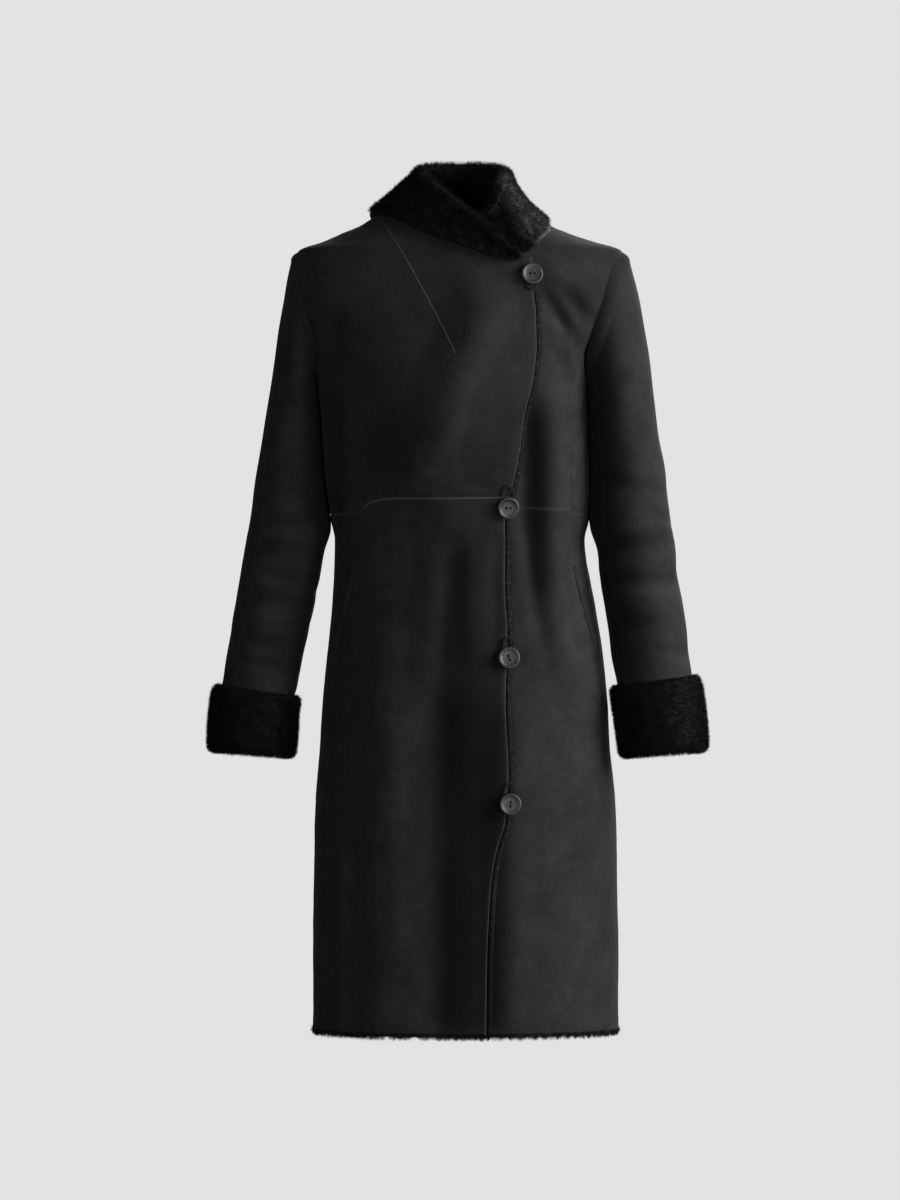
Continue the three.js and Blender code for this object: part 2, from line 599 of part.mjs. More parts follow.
const WAIST_CORNER = -121; // across, where the upper front's waist seam starts
const upperWaist = (u) => {
  const across = mix(WAIST_CORNER, closingAcross(SIDE_WAIST), u);
  return along(upperWaistRows, "across", "height", across);
};

function remembered(find) {
  const kept = new Map();
  return (u) => {
    if (!kept.has(u)) kept.set(u, find(u));
    return kept.get(u);
  };
}

const UPPER_NECK_END = upperNeckRows[upperNeckRows.length - 1].height;
const LOWER_NECK_END = lowerNeckRows[0].height;
const upperNeck = remembered((u) =>
  neckHeight(u, frontEdge(-1), closingTurn, upperNeckRows, mix(NECK_POINT, UPPER_NECK_END, u)),
);
const lowerNeck = remembered((u) =>
  neckHeight(u, lapTurn, frontEdge(1), lowerNeckRows, mix(LOWER_NECK_END, NECK_POINT, u)),
);
const backNeck = remembered((u) => {
  const across = mix(backNeckRows[0].across, backNeckRows[backNeckRows.length - 1].across, u);
  return along(backNeckRows, "across", "height", across);
});
const CLOSING_TIP = -140; // where the rows change pace at the closing edge
const BACK_TIP = -60; // and at the middle of the back
const UPPER_TIP_START = 0.25; // share across the upper front where that starts to fall
const LOWER_TIP_END = 0.65; // share across the lower front where it has risen
const upperTip = (u) =>
  mix(SHOULDER_TIP, CLOSING_TIP, ease((u - UPPER_TIP_START) / (1 - UPPER_TIP_START)));
const lowerTip = (u) =>
  mix(SHOULDER_TIP, CLOSING_TIP, ease((LOWER_TIP_END - u) / LOWER_TIP_END));
const backTip = (u) => mix(SHOULDER_TIP, BACK_TIP, Math.sin(Math.PI * u));
const backTurn = (side, height) => (side < 0 ? 2 + backEdge(-1)(height) : backEdge(1)(height));

addPanel("front_bodice_right", 16, frontEdge(-1), closingTurn,
  bodiceHeights((u) => upperWaist(u) + SEAM_GAP / 2, upperNeck, upperTip), lapRise);
addPanel("front_bodice_left", 13, lapTurn, frontEdge(1),
  bodiceHeights(() => LOWER_WAIST + SEAM_GAP / 2, lowerNeck, lowerTip), noRise);
addPanel("back_bodice", 16, (height) => backTurn(1, height), (height) => backTurn(-1, height),
  bodiceHeights(() => SIDE_WAIST + SEAM_GAP / 2, (u) => backNeck(1 - u), backTip), noRise);

// Rows of a skirt panel; a front's waist lies above the sides', so it has a row level with theirs
function skirtRows(waistAt, isFront) {
  const shared = isFront ? [SIDE_WAIST, ...skirtHeights] : skirtHeights;
  return [waistAt, ...shared.map((height) => () => height)];
}

addPanel("front_skirt_right", 15, frontEdge(-1), closingTurn,
  skirtRows((u) => upperWaist(u) - SEAM_GAP / 2, true), lapRise);
addPanel("front_skirt_left", 14, lapTurn, frontEdge(1),
  skirtRows(() => LOWER_WAIST - SEAM_GAP / 2, true), noRise);
addPanel("back_skirt", 15, (height) => backTurn(1, height), (height) => backTurn(-1, height),
  skirtRows(() => SIDE_WAIST - SEAM_GAP / 2, false), noRise);

const sides = [
  { side: 1, word: "left" },
  { side: -1, word: "right" },
];

for (const { side, word } of sides) {
  const bodice = [() => SIDE_WAIST + SEAM_GAP / 2, () => LOWER_WAIST];
  for (const height of lowerBodiceHeights.slice(0, -1)) bodice.push(() => height);
  bodice.push(() => UNDERARM - SEAM_GAP);
  addPanel(`side_bodice_${word}`, 7, sideFrontEdge(side), sideBackEdge(side), bodice, noRise);
  addPanel(`side_skirt_${word}`, 7, sideFrontEdge(side), sideBackEdge(side),
    skirtRows(() => SIDE_WAIST - SEAM_GAP / 2, false), noRise);
}

// Wool below the hem, set in from the skin's face
const HEM_SET_IN = 1.5;
const HEM_WOOL = 4.5;
function addHem(name, columns, startTurn, endTurn, riseAt) {
  const place = (i, j, depth) => {
    const height = j === 0 ? WOOL_HEM : HEM - SEAM_GAP;
    const turn = mix(startTurn(height), endTurn(height), i / columns);
    return clothSpot(turn, height, riseAt(turn, height) - HEM_SET_IN - depth);
  };
  addWall(name, columns, 1, (i, j) => place(i, j, 0), (i, j) => place(i, j, HEM_WOOL), FUR);
}
addHem("hem_wool_front_right", 15, frontEdge(-1), closingTurn, lapRise);
addHem("hem_wool_front_left", 14, lapTurn, frontEdge(1), noRise);
addHem("hem_wool_back", 30, sideFrontEdge(1), (height) => 2 + sideFrontEdge(-1)(height), noRise);

// Wool along the closing edge, beside the upper front and on the lower one
const edgeSection = [
  { off: 0.4, top: 3.2 },
  { off: 0.3 * EDGE_WIDTH, top: 6.4 },
  { off: 0.7 * EDGE_WIDTH, top: 6.2 },
  { off: EDGE_WIDTH, top: 2.4 },
];
const EDGE_UNDER = 0.9;
function addEdge(name, heights) {
  const place = (i, j, top) => {
    const height = heights[j];
    const turn = turnAt(closingAcross(height) + edgeSection[i].off, height, -1);
    return clothSpot(turn, height, top);
  };
  addWall(name, edgeSection.length - 1, heights.length - 1,
    (i, j) => place(i, j, edgeSection[i].top), (i, j) => place(i, j, EDGE_UNDER), FUR);
}
const EDGE_TOP = -88;
const bodiceEdge = bodiceHeights((u) => upperWaist(u) + SEAM_GAP / 2, upperNeck, upperTip)
  .map((heightAt) => heightAt(1))
  .filter((height) => height < EDGE_TOP);
addEdge("front_edge_bodice", bodiceEdge);
addEdge("front_edge_skirt", [upperWaist(1) - SEAM_GAP / 2, ...skirtHeights]);

// Welts along the slanted pockets
const WELT_LIFT = 0.6;
const WELT_THICK = 1.8;
const WELT_TOP = -435;
const WELT_BOTTOM = -591;
const weltHeights = skirtHeights.filter((height) => height <= WELT_TOP && height >= WELT_BOTTOM);
for (const { side, word } of sides) {
  const place = (i, j, lift) => {
    const height = weltHeights[j];
    const off = (i / 2 - 0.5) * WELT_WIDTH;
    const turn = seamTurn(side, height, -1) + off / sectionAt(height).girth;
    return clothSpot(turn, height, lift);
  };
  addWall(`pocket_welt_${word}`, 2, weltHeights.length - 1,
    (i, j) => place(i, j, WELT_LIFT + WELT_THICK), (i, j) => place(i, j, WELT_LIFT), SUEDE);
}

// Sleeves

const sleeveColumns = (side) => (side > 0 ? ["leftOuter", "leftInner"] : ["rightOuter", "rightInner"]);

// A place round a sleeve: share 0 is its outer side, 0.25 its front and 0.5 its inner side
function sleeveSurface(side, share, height) {
  const [outerX, innerX] = sleeveColumns(side).map((column) => along(sleeveRows, "height", column, height));
  const [outerZ, innerZ, middle, halfDepth] = ["outerZ", "innerZ", "middle", "halfDepth"].map(
    (column) => along(sleeveRows, "height", column, height),
  );
  const cosine = Math.cos(2 * Math.PI * share);
  const sine = Math.sin(2 * Math.PI * share);
  return new THREE.Vector3(
    (outerX + innerX) / 2 + (cosine * (outerX - innerX)) / 2,
    middle - sine * halfDepth,
    (outerZ + innerZ) / 2 + (cosine * (outerZ - innerZ)) / 2,
  );
}

const SHARE_STEP = 0.01;
const FIRST_SECTION = sleeveRows[0].height;
const LAST_SECTION = sleeveRows[sleeveRows.length - 1].height;

function sleeveSpot(side, share, height, out) {
  const above = Math.min(FIRST_SECTION, height + HEIGHT_STEP);
  const below = Math.max(LAST_SECTION, height - HEIGHT_STEP);
  const down = sleeveSurface(side, share, below).sub(sleeveSurface(side, share, above));
  const round = sleeveSurface(side, share + SHARE_STEP, height)
    .sub(sleeveSurface(side, share - SHARE_STEP, height));
  const normal = down.cross(round).multiplyScalar(-side).normalize();
  return sleeveSurface(side, share, height).addScaledVector(normal, out);
}

// The sleeve's first loop, which stands on the body round the armhole
const ARMHOLE_STEPS = 60;
const SLEEVE_CLEAR = 1.1; // gap between the sleeve and the armhole's edge
const JUST_BELOW = 1e-6; // keeps the loop's first place under the shoulder tip
function armholeLoop() {
  const half = [];
  for (let k = 0; k <= ARMHOLE_STEPS; k += 1) {
    const share = k / ARMHOLE_STEPS;
    const height = mix(SHOULDER_TIP, UNDERARM, (1 - Math.cos(Math.PI * share)) / 2);
    half.push([-sideFlat(height - JUST_BELOW), height]);
  }
  half.push([0, UNDERARM]);
  const lengths = [0];
  for (let k = 1; k < half.length; k += 1) {
    lengths.push(lengths[k - 1] + Math.hypot(half[k][0] - half[k - 1][0], half[k][1] - half[k - 1][1]));
  }
  const whole = lengths[lengths.length - 1];
  return (share) => {
    const wrapped = share - Math.floor(share);
    const front = wrapped <= 0.5;
    const goal = (front ? wrapped : 1 - wrapped) * 2 * whole;
    let k = 1;
    while (k < lengths.length - 1 && lengths[k] < goal) k += 1;
    const part = (goal - lengths[k - 1]) / (lengths[k] - lengths[k - 1]);
    const height = mix(half[k - 1][1], half[k][1], part);
    const deep = mix(half[k - 1][0], half[k][0], part);
    return [front ? deep : -deep * sectionAt(height).backShare, height];
  };
}
const armholeAt = armholeLoop();

const LOOP_STEP = 0.004; // share of the loop between the places that give its direction

// Spread is how far the loop lies outside the armhole's edge
function armholeSpot(side, share, spread) {
  const [deep, height] = armholeAt(share);
  const [beforeDeep, beforeHeight] = armholeAt(share - LOOP_STEP);
  const [afterDeep, afterHeight] = armholeAt(share + LOOP_STEP);
  const length = Math.hypot(afterDeep - beforeDeep, afterHeight - beforeHeight);
  const outDeep = (afterHeight - beforeHeight) / length;
  const outUp = -(afterDeep - beforeDeep) / length;
  const edge = surfaceSpot(sideTurn(side, height, -1), height).x;
  return new THREE.Vector3(edge + side * SLEEVE_CLEAR, deep + outDeep * spread, height + outUp * spread);
}

// The sleeve lies a little outside the armhole's edge, but at the shoulder it is flush
const SLEEVE_FLARE = 1.5;
const FLARE_SHARE = 0.16; // of the loop from the shoulder to the full flare
function sleeveFlare(share) {
  const wrapped = share - Math.floor(share);
  const fromTop = Math.min(wrapped, 1 - wrapped);
  return SLEEVE_FLARE * ease(fromTop / FLARE_SHARE);
}

const sleeveSections = [
  ...sleeveRows.map((row) => row.height).filter((height) => height > SLEEVE_END),
  SLEEVE_END,
];

// Elbow wrinkles, which cross the sleeve: where, how high, how deep
const wrinkleRows = [
  { side: 1, height: -395, share: 0.2, reach: 0.16, width: 12, depth: 3 },
  { side: 1, height: -446, share: 0.3, reach: 0.14, width: 12, depth: 3 },
  { side: 1, height: -500, share: 0.12, reach: 0.16, width: 12, depth: 3 },
  { side: -1, height: -420, share: 0.2, reach: 0.16, width: 12, depth: 3 },
  { side: -1, height: -483, share: 0.28, reach: 0.16, width: 12, depth: 3 },
  { side: -1, height: -530, share: 0.14, reach: 0.16, width: 12, depth: 3 },
];

function wrinkleRise(side, share, height) {
  let rise = 0;
  for (const wrinkle of wrinkleRows) {
    if (wrinkle.side !== side) continue;
    const wrapped = share - Math.floor(share);
    const round = (wrapped - wrinkle.share) / wrinkle.reach;
    const up = (height - wrinkle.height) / wrinkle.width;
    rise -= wrinkle.depth * Math.exp(-round * round - up * up);
  }
  return rise;
}

const SLEEVE_INSET = 0.0006; // of the sleeve's girth, half a seam's gap
function addSleevePiece(name, side, columns, from, to) {
  const place = (i, j, depth) => {
    const share = mix(from + SLEEVE_INSET, to - SLEEVE_INSET, i / columns);
    if (j === 0) return armholeSpot(side, share, sleeveFlare(share) - depth);
    const height = sleeveSections[j - 1];
    return sleeveSpot(side, share, height, wrinkleRise(side, share, height) - depth);
  };
  addWall(name, columns, sleeveSections.length, (i, j) => place(i, j, 0),
    (i, j) => place(i, j, WALL), SUEDE);
}

for (const { side, word } of sides) {
  addSleevePiece(`sleeve_top_${word}`, side, 13, -SLEEVE_SEAM, SLEEVE_SEAM);
  addSleevePiece(`sleeve_under_${word}`, side, 5, SLEEVE_SEAM, 1 - SLEEVE_SEAM);
}

// Turned-back cuffs
const CUFF_COLUMNS = 26;
for (const { side, word } of sides) {
  const top = cuffTops[word];
  const loops = [];
  for (let k = 0; k < CUFF_COLUMNS; k += 1) {
    loops.push(cuffRows.map(({ off, down }) =>
      sleeveSpot(side, k / CUFF_COLUMNS, mix(top, CUFF_BOTTOM, down), off)));
  }
  addSweep(`cuff_${word}`, loops, true, FUR);
}

// Collar

const catmull = (a, b, c, d, t) =>
  0.5 * (2 * b + (c - a) * t + (2 * a - 5 * b + 4 * c - d) * t * t + (3 * b - a - 3 * c + d) * t ** 3);

const collarStations = collarRows.map((row) => ({
  ...row,
  edgeTurn: wholeTurn(turnAt(row.edgeX, row.edgeZ, row.face), row),
  neckZ: neckSeam(row),
  neckTurn: wholeTurn(turnAt(row.neckX, neckSeam(row), row.face), row),
}));

// Height of the neck seam, just above the panel that the collar is sewn to
function neckSeam(row) {
  const first = collarRows.indexOf(row) < FIRST_BACK_ROW;
  const front = first ? upperNeckRows : lowerNeckRows;
  const rows = row.face > 0 ? backNeckRows : front;
  return along(rows, "across", "height", row.neckX + (first ? -NECK_INSET : NECK_INSET)) + NECK_CLEAR;
}

// The collar starts on the right front, so its turns run down through the back to the left
function wholeTurn(turn, row) {
  return turn > 0 && collarRows.indexOf(row) >= FIRST_BACK_ROW ? turn - 2 : turn;
}

function collarValue(column, place) {
  const last = collarStations.length - 1;
  const i = Math.min(last - 1, Math.floor(place));
  const at = (k) => collarStations[Math.min(last, Math.max(0, k))][column];
  return catmull(at(i - 1), at(i), at(i + 1), at(i + 2), place - i);
}

const FOLD_GAP = 1; // between the stand and the turned-down part under the roll
const NECK_SINK = 0.6; // how far the neck seam lies inside the panels' face
const RUN_STEP = 0.25; // rows each way that give the roll line's direction
function collarLoop(place) {
  const value = (column) => collarValue(column, place);
  const roll = new THREE.Vector3(value("rollX"), value("rollY"), value("rollZ"));
  const wall = value("wall");
  const ahead = Math.min(collarStations.length - 1, place + RUN_STEP);
  const behind = Math.max(0, place - RUN_STEP);
  const run = new THREE.Vector3(
    collarValue("rollX", ahead) - collarValue("rollX", behind),
    collarValue("rollY", ahead) - collarValue("rollY", behind),
    collarValue("rollZ", ahead) - collarValue("rollZ", behind),
  ).normalize();
  const edgeTurn = value("edgeTurn");
  const edgeZ = value("edgeZ");
  const upper = place < FIRST_BACK_ROW - 1;
  const lap = upper ? lapRise(edgeTurn, edgeZ) : 0;
  const neckLap = upper ? lapRise(value("neckTurn"), value("neckZ")) : 0;
  const edgeSkin = clothSpot(edgeTurn, edgeZ, lap + value("lift"));
  const edgeFur = clothSpot(edgeTurn, edgeZ, lap + value("lift") + value("edgeWall"));
  const neckSkin = clothSpot(value("neckTurn"), value("neckZ"), neckLap - NECK_SINK);
  const neckFur = clothSpot(value("neckTurn"), value("neckZ"), neckLap - NECK_SINK - wall);
  const fallen = edgeFur.clone().sub(roll).normalize();
  const out = new THREE.Vector3().crossVectors(run, fallen).cross(run).normalize();
  const across = out.clone();
  across.z = 0;
  across.addScaledVector(run, -across.dot(run)).normalize();
  const up = new THREE.Vector3().crossVectors(across, run).normalize();
  if (up.z < 0) up.negate();
  const part = (off, rise) => roll.clone().addScaledVector(across, off).addScaledVector(up, rise);
  const outer = part(wall + FOLD_GAP / 2, -wall * 0.9);
  const inner = part(-wall - FOLD_GAP / 2, -wall * 0.9);
  const skinOuter = part(FOLD_GAP / 2, -wall - 1);
  const skinInner = part(-FOLD_GAP / 2, -wall - 1);
  const between = (a, b, share) => a.clone().lerp(b, share);
  const hollow = value("hollow");
  const fall = (a, b, share) =>
    between(a, b, share).addScaledVector(across, -hollow * 4 * share * (1 - share));
  return [
    edgeFur, fall(edgeFur, outer, 0.35), fall(edgeFur, outer, 0.7), outer,
    part(wall * 0.55, -wall * 0.2), roll, part(-wall * 0.55, -wall * 0.2), inner,
    between(inner, neckFur, 0.35), between(inner, neckFur, 0.7), neckFur, neckSkin,
    between(neckSkin, skinInner, 0.4), skinInner,
    skinOuter, fall(skinOuter, edgeSkin, 0.6), edgeSkin,
  ];
}

const collarLoops = [];
for (let k = 0; k <= COLLAR_STEPS; k += 1) {
  collarLoops.push(collarLoop((k / COLLAR_STEPS) * (collarStations.length - 1)));
}
addSweep("collar", collarLoops, false, FUR);

// Buttons on thread shanks, each with a cord loop round its shank

const buttonProfile = [
  { out: 0, up: 0 },
  { out: SHANK_RADIUS, up: 0 },
  { out: SHANK_RADIUS, up: SHANK_LENGTH },
  { out: BUTTON_RADIUS - 2, up: SHANK_LENGTH },
  { out: BUTTON_RADIUS, up: SHANK_LENGTH + 1.4 },
  { out: BUTTON_RADIUS - 0.6, up: SHANK_LENGTH + 3.4 },
  { out: BUTTON_RADIUS - 2, up: SHANK_LENGTH + BUTTON_THICKNESS },
  { out: BUTTON_RADIUS - 3.8, up: SHANK_LENGTH + 3.2 },
  { out: 4, up: SHANK_LENGTH + 2.6 },
  { out: 0, up: SHANK_LENGTH + 2.6 },
];
const BUTTON_SIDES = 16;
const BUTTON_SEAT = LAP + 0.5;
const LOOP_LIFT = LAP + 0.6 + CORD_RADIUS;
const loopShape = [
  { across: -5, rise: 0.1 },
  { across: -6, rise: 0.5 },
  { across: -4.6, rise: 0.86 },
  { across: 0.6, rise: 1 },
  { across: 5.4, rise: 0.84 },
  { across: 6.4, rise: 0.48 },
  { across: 5.2, rise: 0.1 },
];

function frontSpot(across, height, lift) {
  return clothSpot(turnAt(across, height, -1), height, lift);
}

buttonRows.forEach(({ across, height, turned, loopReach }, index) => {
  const turn = turnAt(across, height, -1);
  const seat = clothSpot(turn, height, BUTTON_SEAT);
  const normal = surfaceNormal(turn, height);
  const outline = buttonProfile.map(({ out, up }) => new THREE.Vector2(out, up));
  const button = new THREE.Mesh(
    new THREE.LatheGeometry(outline, BUTTON_SIDES),
    new THREE.MeshStandardMaterial(HORN),
  );
  button.name = `button_${index + 1}`;
  button.position.copy(seat);
  button.quaternion.setFromUnitVectors(new THREE.Vector3(0, 1, 0), normal);
  button.rotateOnAxis(new THREE.Vector3(0, 1, 0), turned);
  coat.add(button);

  const path = new THREE.CatmullRomCurve3(
    loopShape.map((point) =>
      frontSpot(across + point.across, height + point.rise * loopReach, LOOP_LIFT)),
  );
  const cord = new THREE.Shape();
  cord.absarc(0, 0, CORD_RADIUS, 0, 2 * Math.PI);
  const loop = new THREE.Mesh(
    new THREE.ExtrudeGeometry(cord, { steps: 9, curveSegments: 3, bevelEnabled: false, extrudePath: path }),
    new THREE.MeshStandardMaterial(SUEDE),
  );
  loop.name = `loop_${index + 1}`;
  coat.add(loop);
});

export default coat;
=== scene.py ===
# A shearling coat, filled out as worn: its cloth, fur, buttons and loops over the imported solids,
# with the camera, the light and the ground. Sizes are millimetres until a mesh is made.
import math

import bpy
import numpy as np
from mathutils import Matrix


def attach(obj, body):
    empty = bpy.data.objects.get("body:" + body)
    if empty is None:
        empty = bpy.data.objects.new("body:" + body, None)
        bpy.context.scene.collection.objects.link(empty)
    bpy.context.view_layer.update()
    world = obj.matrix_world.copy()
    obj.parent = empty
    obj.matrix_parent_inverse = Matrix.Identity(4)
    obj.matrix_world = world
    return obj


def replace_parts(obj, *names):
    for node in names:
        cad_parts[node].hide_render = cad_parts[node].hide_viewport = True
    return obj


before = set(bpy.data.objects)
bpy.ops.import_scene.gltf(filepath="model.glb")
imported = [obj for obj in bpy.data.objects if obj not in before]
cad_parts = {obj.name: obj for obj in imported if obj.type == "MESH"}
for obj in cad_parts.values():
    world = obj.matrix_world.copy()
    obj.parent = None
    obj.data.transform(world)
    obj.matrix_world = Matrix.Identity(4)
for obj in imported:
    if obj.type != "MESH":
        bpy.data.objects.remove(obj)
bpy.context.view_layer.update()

MM = 0.001
BODY = "root"

# Driving sizes, as in the solids
WALL = 6
LAP_GAP = 1.2
LAP = WALL + LAP_GAP
LAP_WIDTH = 60
LAP_RAMP = 70
LAP_FLAT = 6
SHOULDER_TIP = -43
UNDERARM = -212
ARMHOLE_MIDDLE = -118
ARMHOLE_DEPTH = 60
ARMHOLE_ABOVE = SHOULDER_TIP - ARMHOLE_MIDDLE
ARMHOLE_BELOW = 106
UNDERARM_FADE = 60
SEAM_CURVE = 50
NECK_POINT = 8
HEM = -1010
WOOL_HEM = -1022
ROUNDNESS = 2.15
CUFF_PROUD = 10
COLLAR_WALL = 6.5
BUTTON_RADIUS = 13.8
SHANK_LENGTH = 3.4
EDGE_WIDTH = 7.5
WELT_WIDTH = 6
LOWER_WAIST = -364
SIDE_WAIST = -371
CLOSING_TIP = -140
CUFF_BOTTOM = -667
CUFF_TOPS = {1: -580, -1: -592}
SLEEVE_END = -654
SLEEVE_SEAM = 0.367

# The gap at the seams is narrower than between the solids, so that no light shows through
SEAM_GAP = 0.04

BODY_COLUMNS = ("height", "half_width", "shift", "front", "back")
BODY_ROWS = (
    (12, 84, 0, 50, 52),
    (4, 98, -1, 57, 58),
    (-2, 107, -3, 63, 63),
    (-11, 119, -5, 72, 70),
    (-21, 142, -6, 81, 77),
    (-31, 168, -3, 88, 83),
    (-43, 202, 0, 96, 89),
    (-67, 195.5, -9, 104, 96),
    (-101, 188.5, -9.5, 112, 104),
    (-142, 175, -8.5, 122, 111),
    (-177, 167, -10.5, 127, 114),
    (-215, 167, -9.5, 131, 114),
    (-250, 167, -7.8, 129, 110),
    (-312, 166.8, -4.3, 119, 102),
    (-377, 161, -0.5, 109, 96),
    (-403, 155.6, -0.5, 107, 95),
    (-428, 157, 0.6, 109, 97),
    (-453, 160, 2.5, 113, 101),
    (-502, 166, 5, 120, 110),
    (-552, 173, 6.5, 127, 120),
    (-601, 177.3, 6.2, 131, 126),
    (-651, 180.4, 5.8, 135, 130),
    (-725, 186.6, 6.8, 140, 134),
    (-825, 189, 6.8, 144, 139),
    (-1030, 191, 7.4, 150, 146),
)

CLOSING_COLUMNS = ("height", "across")
CLOSING_ROWS = (
    (-50, 87), (-98, 89.3), (-130, 91.8), (-161, 91.8), (-192, 89.3), (-242, 80.6), (-304, 70.7),
    (-351, 60), (-383, 54), (-461, 54), (-518, 57), (-614, 54), (-694, 57), (-750, 53.3),
    (-787, 43.4), (-825, 37.2), (-862, 34.7), (-924, 32.2), (-1030, 31),
)

SEAM_COLUMNS = ("height", "right", "left")
FRONT_SEAM_ROWS = (
    (-250, -121, 138), (-419, -120, 140), (-435, -130, 142), (-477, -140, 152),
    (-539, -154, 168), (-591, -160, 176), (-660, -163, 180), (-1030, -170, 185),
)
BACK_SEAM_ROWS = ((-250, -128, 122), (-419, -122, 126), (-591, -140, 148), (-1030, -150, 164))

NECK_COLUMNS = ("across", "height")
UPPER_NECK_ROWS = ((-92, 8), (-74, 5), (-37, -11), (-12, -22), (25, -36), (62, -47), (90, -56))
LOWER_NECK_ROWS = ((26, -80), (50, -60), (66, -40), (76, -22), (84, -8), (91, 8))
BACK_NECK_ROWS = ((-92, 8), (-50, 6), (0, 4), (50, 6), (91, 8))
UPPER_WAIST_ROWS = ((-122, -366), (-108, -356), (-74, -352), (60, -350))

LOWER_BODICE_HEIGHTS = (-330, -296, -268, -248, -234, -222, UNDERARM)
SKIRT_HEIGHTS = (
    -395, -419, -435, -477, -508, -539, -591, -650, -705, -750, -787, -830, -890, -950, HEM,
)

# Soft troughs, or ridges where the depth is negative; the last rows are on the hidden sides
# Columns: face, top_across, top, low_across, low, width, depth
FOLD_ROWS = (
    (-1, 86, -235, 83, -372, 13, 9),
    (-1, 83, -372, 98, -520, 13, 7),
    (-1, 110, -225, 110, -420, 14, -6),
    (-1, 112, -420, 118, -560, 15, -4),
    (-1, 110, -100, 148, -178, 12, 6),
    (-1, 132, -78, 158, -150, 10, 4),
    (-1, 36, -95, -62, -335, 34, -10),
    (-1, -118, -200, -124, -320, 30, 6),
    (-1, -12, -420, -26, -600, 14, 4.5),
    (-1, -28, -600, -28, -1010, 25, 9),
    (-1, -92, -520, -98, -1010, 28, -6.5),
    (-1, 64, -600, 62, -1010, 26, -7.5),
    (-1, -156, -780, -158, -1010, 14, 4),
    (-1, -138, -800, -137, -1010, 12, -3),
    (-1, 120, -600, 128, -1010, 24, 3),
    (1, -20, -300, -26, -430, 18, 4),
    (1, 70, -420, 84, -1000, 26, 5),
    (1, -58, -460, -76, -1010, 28, 5),
    (1, 8, -520, 4, -1010, 24, -4),
    (1, 112, -120, 96, -230, 16, 4),
    (1, -118, -110, -104, -240, 16, 4),
)

# Finer creases than the solids hold, in the same columns
CREASE_ROWS = (
    (-1, 96, -88, 114, -140, 7, 2.6),
    (-1, 108, -92, 136, -150, 7, 2.4),
    (-1, 104, -140, 130, -196, 8, 2.4),
    (-1, 66, -400, 94, -555, 9, -2.6),
    (-1, 44, -410, 46, -540, 9, 3),
    (-1, 12, -410, 14, -560, 9, -2.2),
    (-1, 118, -540, 124, -620, 13, 2.4),
    (-1, 138, -230, 134, -400, 9, 2),
    (-1, -150, -160, -122, -215, 9, 2),
    (-1, -136, -205, -98, -252, 9, 1.8),
    (-1, -30, -150, -70, -230, 12, 1.6),
    (-1, 20, -210, -8, -310, 12, 1.8),
    (-1, -60, -330, -10, -346, 7, 1.4),
    (-1, 5, -335, 46, -340, 6, 1.4),
    (-1, -98, -372, -92, -430, 8, 1.6),
    (-1, -58, -372, -54, -452, 9, 1.8),
    (-1, 84, -385, 92, -470, 8, 1.6),
    (-1, 118, -380, 126, -440, 7, 1.6),
    (-1, -60, -640, -62, -900, 12, 1.2),
    (-1, 12, -700, 16, -1000, 16, 1.4),
    (-1, 92, -800, 96, -1010, 18, 2),
    (1, -60, -330, -20, -352, 9, 1.4),
    (1, 30, -330, 76, -350, 9, 1.4),
    (1, 64, -384, 72, -452, 9, 1.5),
    (1, -40, -382, -46, -448, 9, 1.5),
    (1, 128, -210, 104, -262, 10, 1.6),
    (1, -132, -206, -110, -258, 10, 1.6),
    (1, -110, -600, -116, -1000, 20, 1.8),
    (1, 122, -560, 132, -960, 20, 1.8),
)

# Soft strokes of painted shade, or of painted light where negative, over the folds and sides of the body
PAINTED_SHADING_ROWS = (
    (-1, 138, -60, 142, -1010, 40, -0.55),
    (-1, 93, -235, 101, -480, 18, 0.9),
    (-1, 104, -500, 122, -600, 13, 0.4),
    (-1, 6, -405, 14, -700, 28, 0.75),
    (-1, 44, -430, 44, -640, 8, 0.5),
    (-1, 4, -590, 0, -1010, 28, 0.85),
    (-1, 38, -620, 40, -1010, 18, 0.85),
    (-1, -142, -780, -142, -1010, 8, -0.9),
    (-1, -122, -760, -124, -1010, 10, 0.2),
    (-1, 66, -250, 30, -345, 24, 0.3),
    (-1, -78, -250, -92, -330, 42, 0.5),
    (-1, 66, -95, -30, -335, 22, -0.3),
    (-1, -148, -110, -152, -380, 12, 0.4),
    (-1, -52, -560, -70, -1010, 24, -0.4),
    (-1, 118, -80, 172, -130, 11, 0.85),
    (-1, 98, -84, 150, -152, 8, 0.85),
    (-1, 112, -118, 146, -176, 7, -0.35),
    (-1, 128, -140, 142, -200, 8, 0.4),
    (1, 60, -120, -40, -330, 50, -0.3),
    (1, 40, -440, 50, -1010, 36, 0.35),
    (1, -90, -440, -100, -1010, 36, -0.3),
)
DARKEST = -0.88

# Painted shade, or painted light where negative, on the sleeves; share is the place round the sleeve
# Columns: side, top, low, share, reach, depth
SLEEVE_PAINTED_SHADING_ROWS = (
    (1, -110, -570, 0.4, 0.12, 0.85),
    (1, -60, -600, 0.12, 0.12, -0.5),
    (-1, -90, -570, 0.42, 0.12, 0.8),
)

